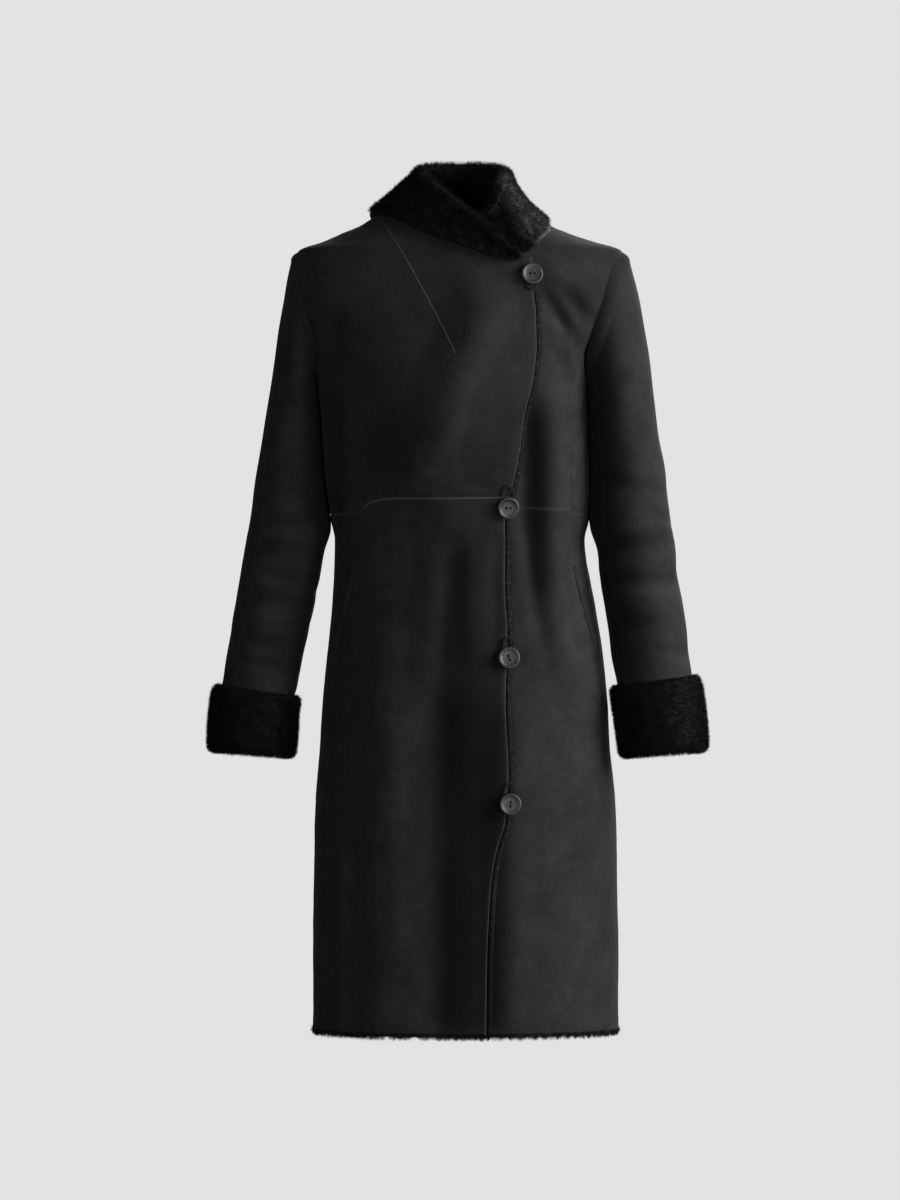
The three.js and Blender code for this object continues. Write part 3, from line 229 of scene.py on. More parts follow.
SLEEVE_COLUMNS = (
    "height", "outer_z", "inner_z", "left_outer", "left_inner", "right_outer", "right_inner",
    "middle", "half_depth",
)
SLEEVE_ROWS = (
    (-138, -56, -220, 213, 159.3, -211, -178, 0, 63),
    (-153, -80, -226, 219, 159.6, -216, -177.8, 0, 64),
    (-169, -105, -233, 224.4, 160, -219.5, -177.3, 0, 64),
    (-191, -138, -244, 230, 160.6, -225, -176.7, 0, 63.5),
    (-219, -180, -258, 236, 161.4, -231.5, -175.8, -1, 62.5),
    (-254, -229, -279, 243, 162.6, -239.5, -174.6, -2, 61),
    (-292, -279, -305, 249.5, 164, -247, -173, -4, 59),
    (-335, -329, -341, 256.5, 164.5, -255, -170.3, -6, 57),
    (-383, -377, -389, 263, 164, -262.5, -165, -8, 55),
    (-409, -403, -415, 266.6, 170, -266.6, -168, -10, 54),
    (-446, -440, -452, 270.5, 174.5, -272.5, -175, -12, 53),
    (-483, -477, -489, 276.5, 180, -279, -182, -14, 52),
    (-520, -514, -526, 281, 185.5, -285, -190.5, -17, 51),
    (-551, -545, -557, 285, 191, -289.5, -198, -19, 50),
    (-580, -574, -586, 289, 196, -294, -203.5, -20, 49),
    (-606, -600, -612, 293, 201, -299.5, -211, -21, 49),
    (-655, -651, -659, 298, 207, -303.5, -214, -23, 49),
    (-680, -677, -683, 300, 209, -304.5, -215, -24, 49),
)

# Sleeve wrinkles: share is the place round the sleeve, 0 outer, 0.25 front, 0.5 inner, 0.75 back
# Columns: side, height, share, reach, width, depth, slope
WRINKLE_ROWS = (
    (1, -345, 0.16, 0.16, 12, 3, 40),
    (1, -380, 0.08, 0.1, 8, 3, 60),
    (1, -412, 0.22, 0.14, 12, 6, -20),
    (1, -458, 0.16, 0.2, 11, 5.5, 10),
    (1, -510, 0.26, 0.1, 13, 5, -40),
    (1, -545, 0.13, 0.1, 8, 3, 40),
    (1, -330, 0.3, 0.12, 9, 2, 60),
    (-1, -350, 0.3, 0.13, 9, 2.9, -60),
    (-1, -384, 0.26, 0.15, 9, 4.1, 40),
    (-1, -420, 0.2, 0.16, 11, 4.9, 0),
    (-1, -452, 0.3, 0.16, 9, 3.8, -40),
    (-1, -483, 0.24, 0.16, 11, 5.2, 0),
    (-1, -510, 0.34, 0.14, 8, 3.5, 50),
    (-1, -532, 0.2, 0.16, 11, 4.9, 0),
    (-1, -560, 0.28, 0.15, 9, 3.8, -40),
    (1, -404, 0.8, 0.15, 9, 3.8, 40),
    (1, -452, 0.7, 0.15, 9, 3.8, -40),
    (-1, -412, 0.78, 0.15, 9, 3.8, 40),
    (-1, -470, 0.7, 0.15, 9, 3.8, -40),
    (1, -250, 0.2, 0.1, 9, 2.6, 90),
    (-1, -240, 0.22, 0.1, 9, 2.6, 90),
)

# The section of a cuff's wall: off the sleeve in mm, and down it as a share of its height
CUFF_ROWS = (
    (1.3, 0.05), (3, 0), (7, 0), (CUFF_PROUD, 0.07), (CUFF_PROUD + 1, 0.5), (CUFF_PROUD, 0.92),
    (6, 1), (-3, 1), (-WALL - 1, 0.95), (-WALL - 1, 0.87), (1.3, 0.87),
)

EDGE_LIFT = 2.4
COLLAR_COLUMNS = (
    "roll_x", "roll_y", "roll_z", "edge_x", "edge_z", "neck_x", "face", "wall", "edge_wall", "lift",
    "hollow",
)
COLLAR_ROWS = (
    (75, -110, -53, 75, -59, 70, -1, 2.4, 2.4, EDGE_LIFT, 0),
    (63, -109, -43, 61, -60, 60, -1, 4, 4, EDGE_LIFT, 0),
    (50, -105, -31, 42, -57, 44, -1, 5.5, 5.5, EDGE_LIFT, 0),
    (26, -88, -5, 6, -45, 14, -1, COLLAR_WALL, COLLAR_WALL, EDGE_LIFT, 0),
    (-3, -70, 15, -31, -30, -18, -1, COLLAR_WALL, COLLAR_WALL, EDGE_LIFT, 0),
    (-28, -52, 37, -64, -13, -48, -1, COLLAR_WALL, COLLAR_WALL, EDGE_LIFT, 0),
    (-45, -27, 53, -88, -3, -74, -1, COLLAR_WALL, COLLAR_WALL, EDGE_LIFT, 0),
    (-51, 0, 61, -110, 0, -95, -1, COLLAR_WALL, COLLAR_WALL, EDGE_LIFT, 1),
    (-42, 28, 66, -98, -6, -78, 1, COLLAR_WALL, COLLAR_WALL, EDGE_LIFT, 2),
    (-24, 43, 68.5, -62, -12, -46, 1, COLLAR_WALL, COLLAR_WALL, EDGE_LIFT, 2),
    (3, 49, 69, 0, -14, 0, 1, COLLAR_WALL, COLLAR_WALL, EDGE_LIFT, 2),
    (30, 43, 68.5, 62, -12, 46, 1, COLLAR_WALL, COLLAR_WALL, EDGE_LIFT, 3),
    (48, 28, 65.5, 98, -10, 78, 1, COLLAR_WALL, 4.5, EDGE_LIFT, 5),
    (57, 0, 60, 110, -5, 95, -1, COLLAR_WALL, 2, 0.8, 8),
    (56, -24, 50, 108, -19, 86, -1, COLLAR_WALL, 1.6, 0.6, 6),
    (49, -44, 31, 99, -29, 79, -1, COLLAR_WALL, 1.6, 0.6, 4),
    (40, -58, 12, 90, -40, 71, -1, 6, 2, 0.8, 2),
    (27, -67, -4, 82, -47, 63, -1, 5, 2.6, 1.4, 0),
    (20, -69, -12, 74, -46, 56, -1, 4, 3, EDGE_LIFT, 0),
)
FIRST_BACK_ROW = 8
NECK_CLEAR = 1.4
NECK_INSET = 2.5
FOLD_GAP = 1

# Columns: across, height, turned, loop_reach, threaded
BUTTON_ROWS = (
    (86.3, -78, 0, -18, False),
    (57, -363, 0, 27, False),
    (57.7, -550, 1.9, 25, True),
    (58.3, -729, 1.5, 25, True),
)
# A cord loop's path: across in mm, and up or down as a share of its reach
LOOP_ROWS = ((-5, 0.1), (-6, 0.5), (-4.6, 0.86), (0.6, 1), (5.4, 0.84), (6.4, 0.48), (5.2, 0.1))

GRID_STEP = 5
SEAM_STEPS = (0, 1.2, 3, 6)
SEAM_DIP = 1.3
SEAM_DIP_WIDTH = 1.7

# Curves through the tables


def column(rows, names, name):
    return np.array([row[names.index(name)] for row in rows], dtype=float)


def mix(a, b, share):
    return a + (b - a) * share


def ease(value):
    share = np.clip(value, 0, 1)
    return share * share * (3 - 2 * share)


def smooth_curve(keys, values):
    """A curve through the values with no overshoot."""
    order = np.argsort(keys)
    x, y = keys[order], values[order]
    step = np.diff(x)
    slope = np.diff(y) / step
    tangent = np.empty_like(y)
    tangent[0], tangent[-1] = slope[0], slope[-1]
    before, after = slope[:-1], slope[1:]
    same_way = before * after > 0
    total = np.where(same_way, before + after, 1)
    tangent[1:-1] = np.where(same_way, 2 * before * after / total, 0)

    def at(place):
        place = np.clip(place, x[0], x[-1])
        i = np.clip(np.searchsorted(x, place) - 1, 0, len(x) - 2)
        t = (place - x[i]) / step[i]
        rise = (2 * t**3 - 3 * t**2 + 1) * y[i] + (3 * t**2 - 2 * t**3) * y[i + 1]
        lean = (t**3 - 2 * t**2 + t) * tangent[i] + (t**3 - t**2) * tangent[i + 1]
        return rise + lean * step[i]

    return at


def curves(rows, names, key):
    keys = column(rows, names, key)
    return {name: smooth_curve(keys, column(rows, names, name)) for name in names if name != key}


body = curves(BODY_ROWS, BODY_COLUMNS, "height")
closing_across = curves(CLOSING_ROWS, CLOSING_COLUMNS, "height")["across"]
front_seam = curves(FRONT_SEAM_ROWS, SEAM_COLUMNS, "height")
back_seam = curves(BACK_SEAM_ROWS, SEAM_COLUMNS, "height")
upper_neck_line = curves(UPPER_NECK_ROWS, NECK_COLUMNS, "across")["height"]
lower_neck_line = curves(LOWER_NECK_ROWS, NECK_COLUMNS, "across")["height"]
back_neck_line = curves(BACK_NECK_ROWS, NECK_COLUMNS, "across")["height"]
upper_waist_line = curves(UPPER_WAIST_ROWS, NECK_COLUMNS, "across")["height"]
sleeve = curves(SLEEVE_ROWS, SLEEVE_COLUMNS, "height")


def waves(seed, count, shortest, longest):
    """A smooth uneven field over two coordinates, about -1 to 1."""
    random = np.random.default_rng(seed)
    lengths = random.uniform(shortest, longest, count)
    angles = random.uniform(0, 2 * math.pi, count)
    phases = random.uniform(0, 2 * math.pi, count)

    def at(a, b):
        total = 0
        for length, angle, phase in zip(lengths, angles, phases):
            way = a * math.cos(angle) + b * math.sin(angle)
            total = total + np.sin(2 * math.pi * way / length + phase)
        return total / math.sqrt(count)

    return at


# The body's surface

SECTION_STEPS = 40
TURN_COUNT = 481
ROW_STEP = 2
TOP_ROW = 14
HEIGHTS = np.arange(TOP_ROW, -1044, -ROW_STEP, dtype=float)


def side_flat(height):
    if height >= SHOULDER_TIP:
        return 0
    reach = ARMHOLE_ABOVE if height > ARMHOLE_MIDDLE else ARMHOLE_BELOW
    level = max(height, UNDERARM)
    curve = ARMHOLE_DEPTH * math.sqrt(max(0, 1 - ((level - ARMHOLE_MIDDLE) / reach) ** 2))
    if height >= UNDERARM:
        return curve
    return curve * float(ease(1 - (UNDERARM - height) / UNDERARM_FADE))


def section(height):
    """Half of a level section, from the front's middle round the side to the back's middle."""
    half_width, front, back = (float(body[name](height)) for name in ("half_width", "front", "back"))
    flat = side_flat(height)
    whole = half_width / (1 - (flat / front) ** ROUNDNESS) ** (1 / ROUNDNESS)
    corner = math.asin((half_width / whole) ** (ROUNDNESS / 2))
    share = np.linspace(0, 1, SECTION_STEPS + 1)
    parts = []
    for depth, angle in ((-front, share * corner), (back, (1 - share) * corner)):
        out = whole * np.sin(angle) ** (2 / ROUNDNESS)
        deep = depth * np.maximum(0, np.cos(angle)) ** (2 / ROUNDNESS)
        parts.append(np.stack([out, deep], axis=1))
    points = np.concatenate(parts)
    steps = np.linalg.norm(np.diff(points, axis=0), axis=1)
    lengths = np.concatenate([[0], np.cumsum(steps)])
    return points, lengths, back / front


sections = [section(height) for height in HEIGHTS]
GIRTHS = np.array([lengths[-1] for points, lengths, share in sections])
SHIFTS = body["shift"](HEIGHTS)
turns = np.linspace(0, 1, TURN_COUNT)
OUT_GRID, DEEP_GRID = (
    np.array([np.interp(turns * s[1][-1], s[1], s[0][:, axis]) for s in sections]) for axis in (0, 1)
)


def girth(height):
    return np.interp(-np.asarray(height), -HEIGHTS, GIRTHS)


def surface(turn, height):
    """A place on the surface: turn is 0 at the front's middle, 1 or -1 at the back's middle."""
    turn, height = np.broadcast_arrays(np.asarray(turn, float), np.asarray(height, float))
    wrapped = (turn + 1) % 2 - 1
    row = np.clip((TOP_ROW - height) / ROW_STEP, 0, len(HEIGHTS) - 1.001)
    place = np.abs(wrapped) * (TURN_COUNT - 1)
    i = row.astype(int)
    j = np.minimum(place.astype(int), TURN_COUNT - 2)
    a, b = row - i, place - j

    def blend(grid):
        upper = mix(grid[i, j], grid[i, j + 1], b)
        lower = mix(grid[i + 1, j], grid[i + 1, j + 1], b)
        return mix(upper, lower, a)

    across = mix(SHIFTS[i], SHIFTS[i + 1], a) + np.where(wrapped < 0, -1, 1) * blend(OUT_GRID)
    return np.stack([across, blend(DEEP_GRID), height], axis=-1)


def unit(vectors):
    length = np.linalg.norm(vectors, axis=-1, keepdims=True)
    return vectors / np.maximum(length, 1e-9)


TURN_STEP = 0.012
HEIGHT_STEP = 4


def surface_normal(turn, height):
    """The way out of the surface at each place."""
    round_way = surface(turn + TURN_STEP, height) - surface(turn - TURN_STEP, height)
    up = surface(turn, height + HEIGHT_STEP) - surface(turn, height - HEIGHT_STEP)
    return unit(np.cross(round_way, up))


FOLD_FADE = 30


def end_fade(past_start, before_end):
    """1 along a stroke, easing to 0 over the same length at both of its ends."""
    start, end = ((way + FOLD_FADE) / (2 * FOLD_FADE) for way in (past_start, before_end))
    return ease(start) * ease(end)


def fold_rise(spots, rows):
    """The rows' soft strokes at each place: above 0 is outwards or lighter, below 0 a trough or darker."""
    x, y, z = spots[..., 0], spots[..., 1], spots[..., 2]
    rise = np.zeros_like(x)
    for face, top_across, top, low_across, low, width, depth in rows:
        dx, dz = low_across - top_across, low - top
        length = math.hypot(dx, dz)
        down = ((x - top_across) * dx + (z - top) * dz) / length
        off = ((x - top_across) * dz - (z - top) * dx) / length
        fade = end_fade(down, length - down)
        rise -= np.where(np.sign(y) == face, depth * fade * np.exp(-((off / width) ** 2)), 0)
    return rise


cloth_waves = waves(11, 9, 60, 190)
nap_waves = waves(12, 10, 16, 44)
WAVE_HEIGHT = 0.55
NAP_HEIGHT = 0.1
WAVE_STRETCH = 0.6


def unevenness(turn, height):
    round_place = turn * girth(height)
    broad = cloth_waves(round_place, height * WAVE_STRETCH)
    return WAVE_HEIGHT * broad + NAP_HEIGHT * nap_waves(round_place, height)


# Folds end before the armhole, so that the sleeve lies on the body all round
SEAT_START = 166
SEAT_WIDTH = 22


def cloth(turn, height, out):
    """Places on the cloth, moved out from the surface."""
    spots = surface(turn, height)
    folds = fold_rise(spots, FOLD_ROWS) + fold_rise(spots, CREASE_ROWS)
    sewn = ease((SEAT_START - np.abs(spots[..., 0])) / SEAT_WIDTH)
    above = ease((spots[..., 2] - UNDERARM + SEAT_WIDTH) / SEAT_WIDTH)
    total = out + folds * mix(1, sewn, above)
    total = total + unevenness(np.asarray(turn), np.asarray(height))
    return spots + surface_normal(turn, height) * total[..., None]


def nap_lie(spots):
    """How much painted light, or painted shade below 0, lies on each place."""
    share = 1
    for row in PAINTED_SHADING_ROWS:
        share = share * (1 + fold_rise(spots, (row,)))
    return np.maximum(DARKEST, share - 1)


def turn_at(across, height, face):
    """The turn at which the section has a place across it, on the front or the back."""
    points, lengths, share = section(float(height))
    shift = float(body["shift"](height))
    goal = abs(across - shift)
    half = slice(0, SECTION_STEPS + 1) if face < 0 else slice(SECTION_STEPS + 1, None)
    out, along = points[half, 0], lengths[half]
    if face > 0:
        out, along = out[::-1], along[::-1]
    side = -1 if across < shift else 1
    return side * float(np.interp(goal, out, along)) / lengths[-1]


def by_height(values):
    """A line over the heights, as a function that takes arrays."""
    table = np.array(values)
    return lambda height: np.interp(-np.asarray(height, float), -HEIGHTS, table)


def seam_turns(side, face):
    """A side seam's turn at each height: its table below the arm, the armhole's edge above."""
    rows = front_seam if face < 0 else back_seam
    word = "left" if side > 0 else "right"
    values = []
    for height, (points, lengths, share) in zip(HEIGHTS, sections):
        corner = SECTION_STEPS if face < 0 else SECTION_STEPS + 1
        edge = side * lengths[corner] / lengths[-1]
        if height < UNDERARM:
            seam = turn_at(float(rows[word](height)), height, face)
            edge = mix(seam, edge, float(ease(1 - (UNDERARM - height) / SEAM_CURVE)))
        values.append(edge)
    return by_height(values)


SEAMS = {(side, face): seam_turns(side, face) for side in (-1, 1) for face in (-1, 1)}
closing_turn = by_height([turn_at(float(closing_across(h)), h, -1) for h in HEIGHTS])
lap_turn = by_height([turn_at(float(closing_across(h)) - LAP_WIDTH, h, -1) for h in HEIGHTS])


def seam_edge(side, face, way):
    """An edge beside a seam; way 1 is further round from the front's middle."""
    return lambda height: SEAMS[side, face](height) + side * way * SEAM_GAP / 2 / girth(height)


def back_edge(side):
    edge = seam_edge(side, 1, 1)
    return lambda height: edge(height) + (2 if side < 0 else 0)


def lap_rise(turn, height):
    """How far the upper front stands off the surface."""
    edge = closing_across(height) - LAP_WIDTH - LAP_RAMP
    return LAP * ease((surface(turn, height)[..., 0] - edge) / (LAP_RAMP - LAP_FLAT))


def no_rise(turn, height):
    return np.zeros_like(np.asarray(height, float) + np.asarray(turn, float))


# Meshes


def make_piece(name, points, faces, materials, parts=None, values=None):
    """A mesh object from places in millimetres, faces as an array, and each face's material."""
    mesh = bpy.data.meshes.new(name)
    size = faces.shape[1]
    mesh.vertices.add(len(points))
    mesh.vertices.foreach_set("co", (np.asarray(points) * MM).astype(np.float32).ravel())
    mesh.loops.add(faces.size)
    mesh.loops.foreach_set("vertex_index", faces.astype(np.int32).ravel())
    mesh.polygons.add(len(faces))
    mesh.polygons.foreach_set("loop_start", np.arange(0, faces.size, size, dtype=np.int32))
    mesh.polygons.foreach_set("use_smooth", np.ones(len(faces), dtype=bool))
    for material in materials:
        mesh.materials.append(material)
    if parts is not None:
        mesh.polygons.foreach_set("material_index", np.asarray(parts, dtype=np.int32))
    for key, data in (values or {}).items():
        layer = mesh.attributes.new(key, "FLOAT", "POINT")
        layer.data.foreach_set("value", np.asarray(data, dtype=np.float32).ravel())
    mesh.update(calc_edges=True)
    mesh.validate()
    piece = bpy.data.objects.new(name, mesh)
    bpy.context.scene.collection.objects.link(piece)
    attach(piece, BODY)
    return piece


def outward(points, faces):
    """The faces turned so that a closed mesh has them pointing out."""
    a, b, c = (points[faces[:, k]] for k in (0, 1, 2))
    volume = np.sum(a * np.cross(b, c))
    if faces.shape[1] == 4:
        d = points[faces[:, 3]]
        volume += np.sum(a * np.cross(c, d))
    return faces if volume > 0 else faces[:, ::-1]


def grid_faces(rows, columns, start=0):
    """Quads of a grid whose places run along its rows."""
    j, i = np.meshgrid(np.arange(rows - 1), np.arange(columns - 1), indexing="ij")
    first = (start + j * columns + i).ravel()
    return np.stack([first, first + 1, first + columns + 1, first + columns], axis=1)


def rim_faces(rows, columns):
    """Quads that join the edges of two equal grids, the second after the first."""
    layer = rows * columns
    bottom = np.arange(columns)
    top = bottom + (rows - 1) * columns
    left = np.arange(rows) * columns
    right = left + columns - 1
    faces = []
    for line, flip in ((bottom, True), (right, True), (top, False), (left, False)):
        a, b = (line[1:], line[:-1]) if flip else (line[:-1], line[1:])
        faces.append(np.stack([a, b, b + layer, a + layer], axis=1))
    return np.concatenate(faces)


def wall_piece(name, outer, inner, materials, **layers):
    """A closed wall between two grids of places: skin outside, wool inside and at the rims."""
    rows, columns = outer.shape[:2]
    points = np.concatenate([outer.reshape(-1, 3), inner.reshape(-1, 3)])
    front = grid_faces(rows, columns)
    back = grid_faces(rows, columns, rows * columns)[:, ::-1]
    rims = rim_faces(rows, columns)
    faces = outward(points, np.concatenate([front, back, rims]))
    parts = None
    if len(materials) > 1:
        parts = np.concatenate([np.zeros(len(front)), np.ones(len(back) + len(rims))])
    hidden = np.zeros(rows * columns)
    values = {key: np.concatenate([layer.ravel(), hidden]) for key, layer in layers.items()}
    return make_piece(name, points, faces, materials, parts, values)


def loops_piece(name, loops, ring, materials, painted_shading_of=None):
    """A tube through equal closed loops of places, joined into a ring or capped."""
    count, size = loops.shape[:2]
    points = loops.reshape(-1, 3)
    spans = count if ring else count - 1
    k, i = np.meshgrid(np.arange(spans), np.arange(size), indexing="ij")
    k, i = k.ravel(), i.ravel()
    following, beside = (k + 1) % count, (i + 1) % size
    quads = np.stack(
        [k * size + i, k * size + beside, following * size + beside, following * size + i], axis=1
    )
    if ring:
        return make_piece(name, points, outward(points, quads), materials)
    tris = np.concatenate([quads[:, :3], quads[:, [0, 2, 3]]])
    caps = []
    for first, flip in ((0, True), ((count - 1) * size, False)):
        middle = len(points)
        points = np.concatenate([points, loops[first // size].mean(axis=0)[None]])
        ring_start = first + np.arange(size)
        ring_next = first + (np.arange(size) + 1) % size
        pair = (ring_next, ring_start) if flip else (ring_start, ring_next)
        caps.append(np.stack([pair[0], pair[1], np.full(size, middle)], axis=1))
    faces = outward(points, np.concatenate([tris] + caps))
    # Painted light and shade at each place, where a function for it is given
    values = {"nap": painted_shading_of(points)} if painted_shading_of else None
    return make_piece(name, points, faces, materials, values=values)


# Materials, with their bumps in metres


def new_material(name):
    material = bpy.data.materials.new(name)
    material.use_nodes = True
    nodes, links = material.node_tree.nodes, material.node_tree.links
    return material, nodes, links, nodes["Principled BSDF"]


def noise_node(nodes, links, coordinates, scale, detail, roughness=0.55):
    noise = nodes.new("ShaderNodeTexNoise")
    noise.inputs["Scale"].default_value = scale
    noise.inputs["Detail"].default_value = detail
    noise.inputs["Roughness"].default_value = roughness
    links.new(coordinates.outputs["Object"], noise.inputs["Vector"])
    return noise.outputs["Fac"]


def ramp_node(nodes, links, source, stops):
    ramp = nodes.new("ShaderNodeValToRGB")
    elements = ramp.color_ramp.elements
    for index, (place, color) in enumerate(stops):
        element = elements[index] if index < 2 else elements.new(place)
        element.position = place
        element.color = (*color, 1)
    links.new(source, ramp.inputs["Fac"])
    return ramp.outputs["Color"]


def blend_node(nodes, links, kind, share, first, second):
    blend = nodes.new("ShaderNodeMix")
    blend.data_type = "RGBA"
    blend.blend_type = kind
    if isinstance(share, (int, float)):
        blend.inputs["Factor"].default_value = share
    else:
        links.new(share, blend.inputs["Factor"])
    for socket, value in (("A", first), ("B", second)):
        target = [s for s in blend.inputs if s.name == socket and s.type == "RGBA"][0]
        if isinstance(value, tuple):
            target.default_value = (*value, 1)
        else:
            links.new(value, target)
    return [s for s in blend.outputs if s.type == "RGBA"][0]


def bump_node(nodes, links, height, strength, distance, under=None):
    bump = nodes.new("ShaderNodeBump")
    bump.inputs["Strength"].default_value = strength
    bump.inputs["Distance"].default_value = distance
    links.new(height, bump.inputs["Height"])
    if under is not None:
        links.new(under, bump.inputs["Normal"])
    return bump.outputs["Normal"]


def with_painted_shading(nodes, links, color):
    """The colour made lighter or darker by the mesh's painted light and shade values."""
    nap = nodes.new("ShaderNodeAttribute")
    nap.attribute_name = "nap"
    share = nodes.new("ShaderNodeMath")
    share.inputs[1].default_value = 1
    links.new(nap.outputs["Fac"], share.inputs[0])
    return blend_node(nodes, links, "MULTIPLY", 1.0, color, share.outputs["Value"])


def suede_material(name, dark, light, cut):
    """Napped suede: blotchy where the nap lies two ways, with painted light and shade from the mesh's
    values and a paler cut edge.
    """
    material, nodes, links, shader = new_material(name)
    coordinates = nodes.new("ShaderNodeTexCoord")
    blotches = noise_node(nodes, links, coordinates, 26, 6, 0.62)
    strokes = noise_node(nodes, links, coordinates, 110, 4, 0.6)
    grain = noise_node(nodes, links, coordinates, 950, 3, 0.7)
    base = ramp_node(nodes, links, blotches, [(0.3, dark), (0.72, light)])
    stroked = ramp_node(nodes, links, strokes, [(0.3, (0.72, 0.72, 0.72)), (0.7, (1, 1, 1))])
    grained = ramp_node(nodes, links, grain, [(0.32, (0.62, 0.62, 0.62)), (0.7, (1, 1, 1))])
    color = blend_node(nodes, links, "MULTIPLY", 1.0, base, stroked)
    color = blend_node(nodes, links, "MULTIPLY", 1.0, color, grained)
    # Painted light and shade from the mesh's values multiply the colour
    color = with_painted_shading(nodes, links, color)
    edge = nodes.new("ShaderNodeAttribute")
    edge.attribute_name = "edge"
    color = blend_node(nodes, links, "MIX", edge.outputs["Fac"], color, cut)
    links.new(color, shader.inputs["Base Color"])
    shader.inputs["Roughness"].default_value = 0.93
    shader.inputs["Specular IOR Level"].default_value = 0.22
    shader.inputs["Sheen Weight"].default_value = 0.05
    shader.inputs["Sheen Roughness"].default_value = 0.5
    shader.inputs["Sheen Tint"].default_value = (0.75, 0.74, 0.78, 1)
    broad = bump_node(nodes, links, strokes, 0.35, 0.0012)
    links.new(bump_node(nodes, links, grain, 0.5, 0.0006, broad), shader.inputs["Normal"])
    return material


def fur_material(name, dark, light, sheen, scale):
    material, nodes, links, shader = new_material(name)
    coordinates = nodes.new("ShaderNodeTexCoord")
    locks = noise_node(nodes, links, coordinates, scale, 4)
    fine = noise_node(nodes, links, coordinates, scale * 6, 3)
    base = ramp_node(nodes, links, locks, [(0.34, dark), (0.7, light)])
    shade = ramp_node(nodes, links, fine, [(0.3, (0.5, 0.5, 0.5)), (0.7, (1, 1, 1))])
    color = blend_node(nodes, links, "MULTIPLY", 1.0, base, shade)
    # Painted light and shade from the mesh's values multiply the colour
    links.new(with_painted_shading(nodes, links, color), shader.inputs["Base Color"])
    shader.inputs["Roughness"].default_value = 0.62
    shader.inputs["Specular IOR Level"].default_value = 0.1
    shader.inputs["Sheen Weight"].default_value = sheen
    shader.inputs["Sheen Roughness"].default_value = 0.5
    under = bump_node(nodes, links, locks, 0.6, 0.003)
    links.new(bump_node(nodes, links, fine, 0.6, 0.001, under), shader.inputs["Normal"])
    return material


def horn_material(name, dark, light):
    material, nodes, links, shader = new_material(name)
    coordinates = nodes.new("ShaderNodeTexCoord")
    clouds = noise_node(nodes, links, coordinates, 160, 5)
    wear = noise_node(nodes, links, coordinates, 700, 3)
    links.new(ramp_node(nodes, links, clouds, [(0.3, dark), (0.72, light)]), shader.inputs["Base Color"])
    rough = nodes.new("ShaderNodeMapRange")
    rough.inputs["To Min"].default_value = 0.34
    rough.inputs["To Max"].default_value = 0.6
    links.new(wear, rough.inputs["Value"])
    links.new(rough.outputs["Result"], shader.inputs["Roughness"])
    links.new(bump_node(nodes, links, wear, 0.12, 0.0003), shader.inputs["Normal"])
    return material


def ground_material(name, grey, glow):
    material, nodes, links, shader = new_material(name)
    coordinates = nodes.new("ShaderNodeTexCoord")
    soft = noise_node(nodes, links, coordinates, 0.6, 1)
    low, high = (tuple(grey * share for _ in range(3)) for share in (0.995, 1.005))
    links.new(ramp_node(nodes, links, soft, [(0.3, low), (0.7, high)]), shader.inputs["Base Color"])
    shader.inputs["Roughness"].default_value = 1
    shader.inputs["Specular IOR Level"].default_value = 0
    shader.inputs["Emission Color"].default_value = (1, 1, 1, 1)
    shader.inputs["Emission Strength"].default_value = glow
    return material


SUEDE = suede_material("suede", (0.0125, 0.0115, 0.0135), (0.024, 0.0225, 0.0255), (0.12, 0.115, 0.12))
WOOL = fur_material("wool", (0.002, 0.002, 0.0022), (0.006, 0.0058, 0.0062), 0.02, 160)
EDGE_WOOL = fur_material("edge_wool", (0.008, 0.0075, 0.0075), (0.03, 0.0285, 0.028), 0.03, 240)
FUR = fur_material("fur", (0.0024, 0.0024, 0.0028), (0.0068, 0.0068, 0.0076), 0.02, 90)
HORN = horn_material("horn", (0.011, 0.011, 0.0115), (0.026, 0.026, 0.0265))
CORD = suede_material("cord", (0.012, 0.011, 0.013), (0.03, 0.028, 0.031), (0.1, 0.1, 0.1))
THREAD = suede_material("thread", (0.006, 0.006, 0.006), (0.014, 0.014, 0.014), (0.05, 0.05, 0.05))


pieces = {}


def cover(name, piece):
    """Keep a piece under its solid's name, and let it replace that solid."""
    pieces[name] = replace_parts(piece, name)


# Body panels


def seam_spaced(width, step):
    """Shares of a width, close together near both edges."""
    near = [place / width for place in SEAM_STEPS]
    count = max(2, round(width / step))
    middle = np.linspace(near[-1], 1 - near[-1], count)
    return np.concatenate([near[:-1], middle, [1 - share for share in near[:-1]][::-1]])


NEAR_SHARES = (0.24, 0.6)
FAR_SHARES = (0.4, 0.76)


def refined(rows, step):
    """More rows between the given ones, close together near both ends."""
    spaced = [rows[0]]
    for before, after in zip(rows, rows[1:]):
        count = max(1, math.ceil(np.abs(after - before).max() / step))
        spaced.extend(mix(before, after, k / count) for k in range(1, count + 1))
    near = [mix(spaced[0], spaced[1], share) for share in NEAR_SHARES]
    far = [mix(spaced[-2], spaced[-1], share) for share in FAR_SHARES]
    return np.array([spaced[0], *near, *spaced[1:-1], *far, spaced[-1]])


NECK_ROUNDS = 40
NECK_PULL = 0.4


def neck_heights(u, start, end, line, guess):
    """The heights at which a panel's columns meet the neck's line, found step by step."""
    height = guess
    for _ in range(NECK_ROUNDS):
        turn = mix(start(height), end(height), u)
        height = mix(height, line(surface(turn, height)[..., 0]), NECK_PULL)
    return height


MIDDLE_ROWS = 7
UPPER_ROWS = 6


def bodice_rows(waist, neck, tip):
    rows = [waist] + [np.full_like(waist, height) for height in LOWER_BODICE_HEIGHTS]
    rows += [mix(UNDERARM, tip, k / MIDDLE_ROWS) for k in range(1, MIDDLE_ROWS + 1)]
    rows += [mix(tip, neck, k / UPPER_ROWS) for k in range(1, UPPER_ROWS + 1)]
    return rows


def skirt_rows(waist, is_front):
    heights = ((SIDE_WAIST,) if is_front else ()) + SKIRT_HEIGHTS
    return [waist] + [np.full_like(waist, height) for height in heights]


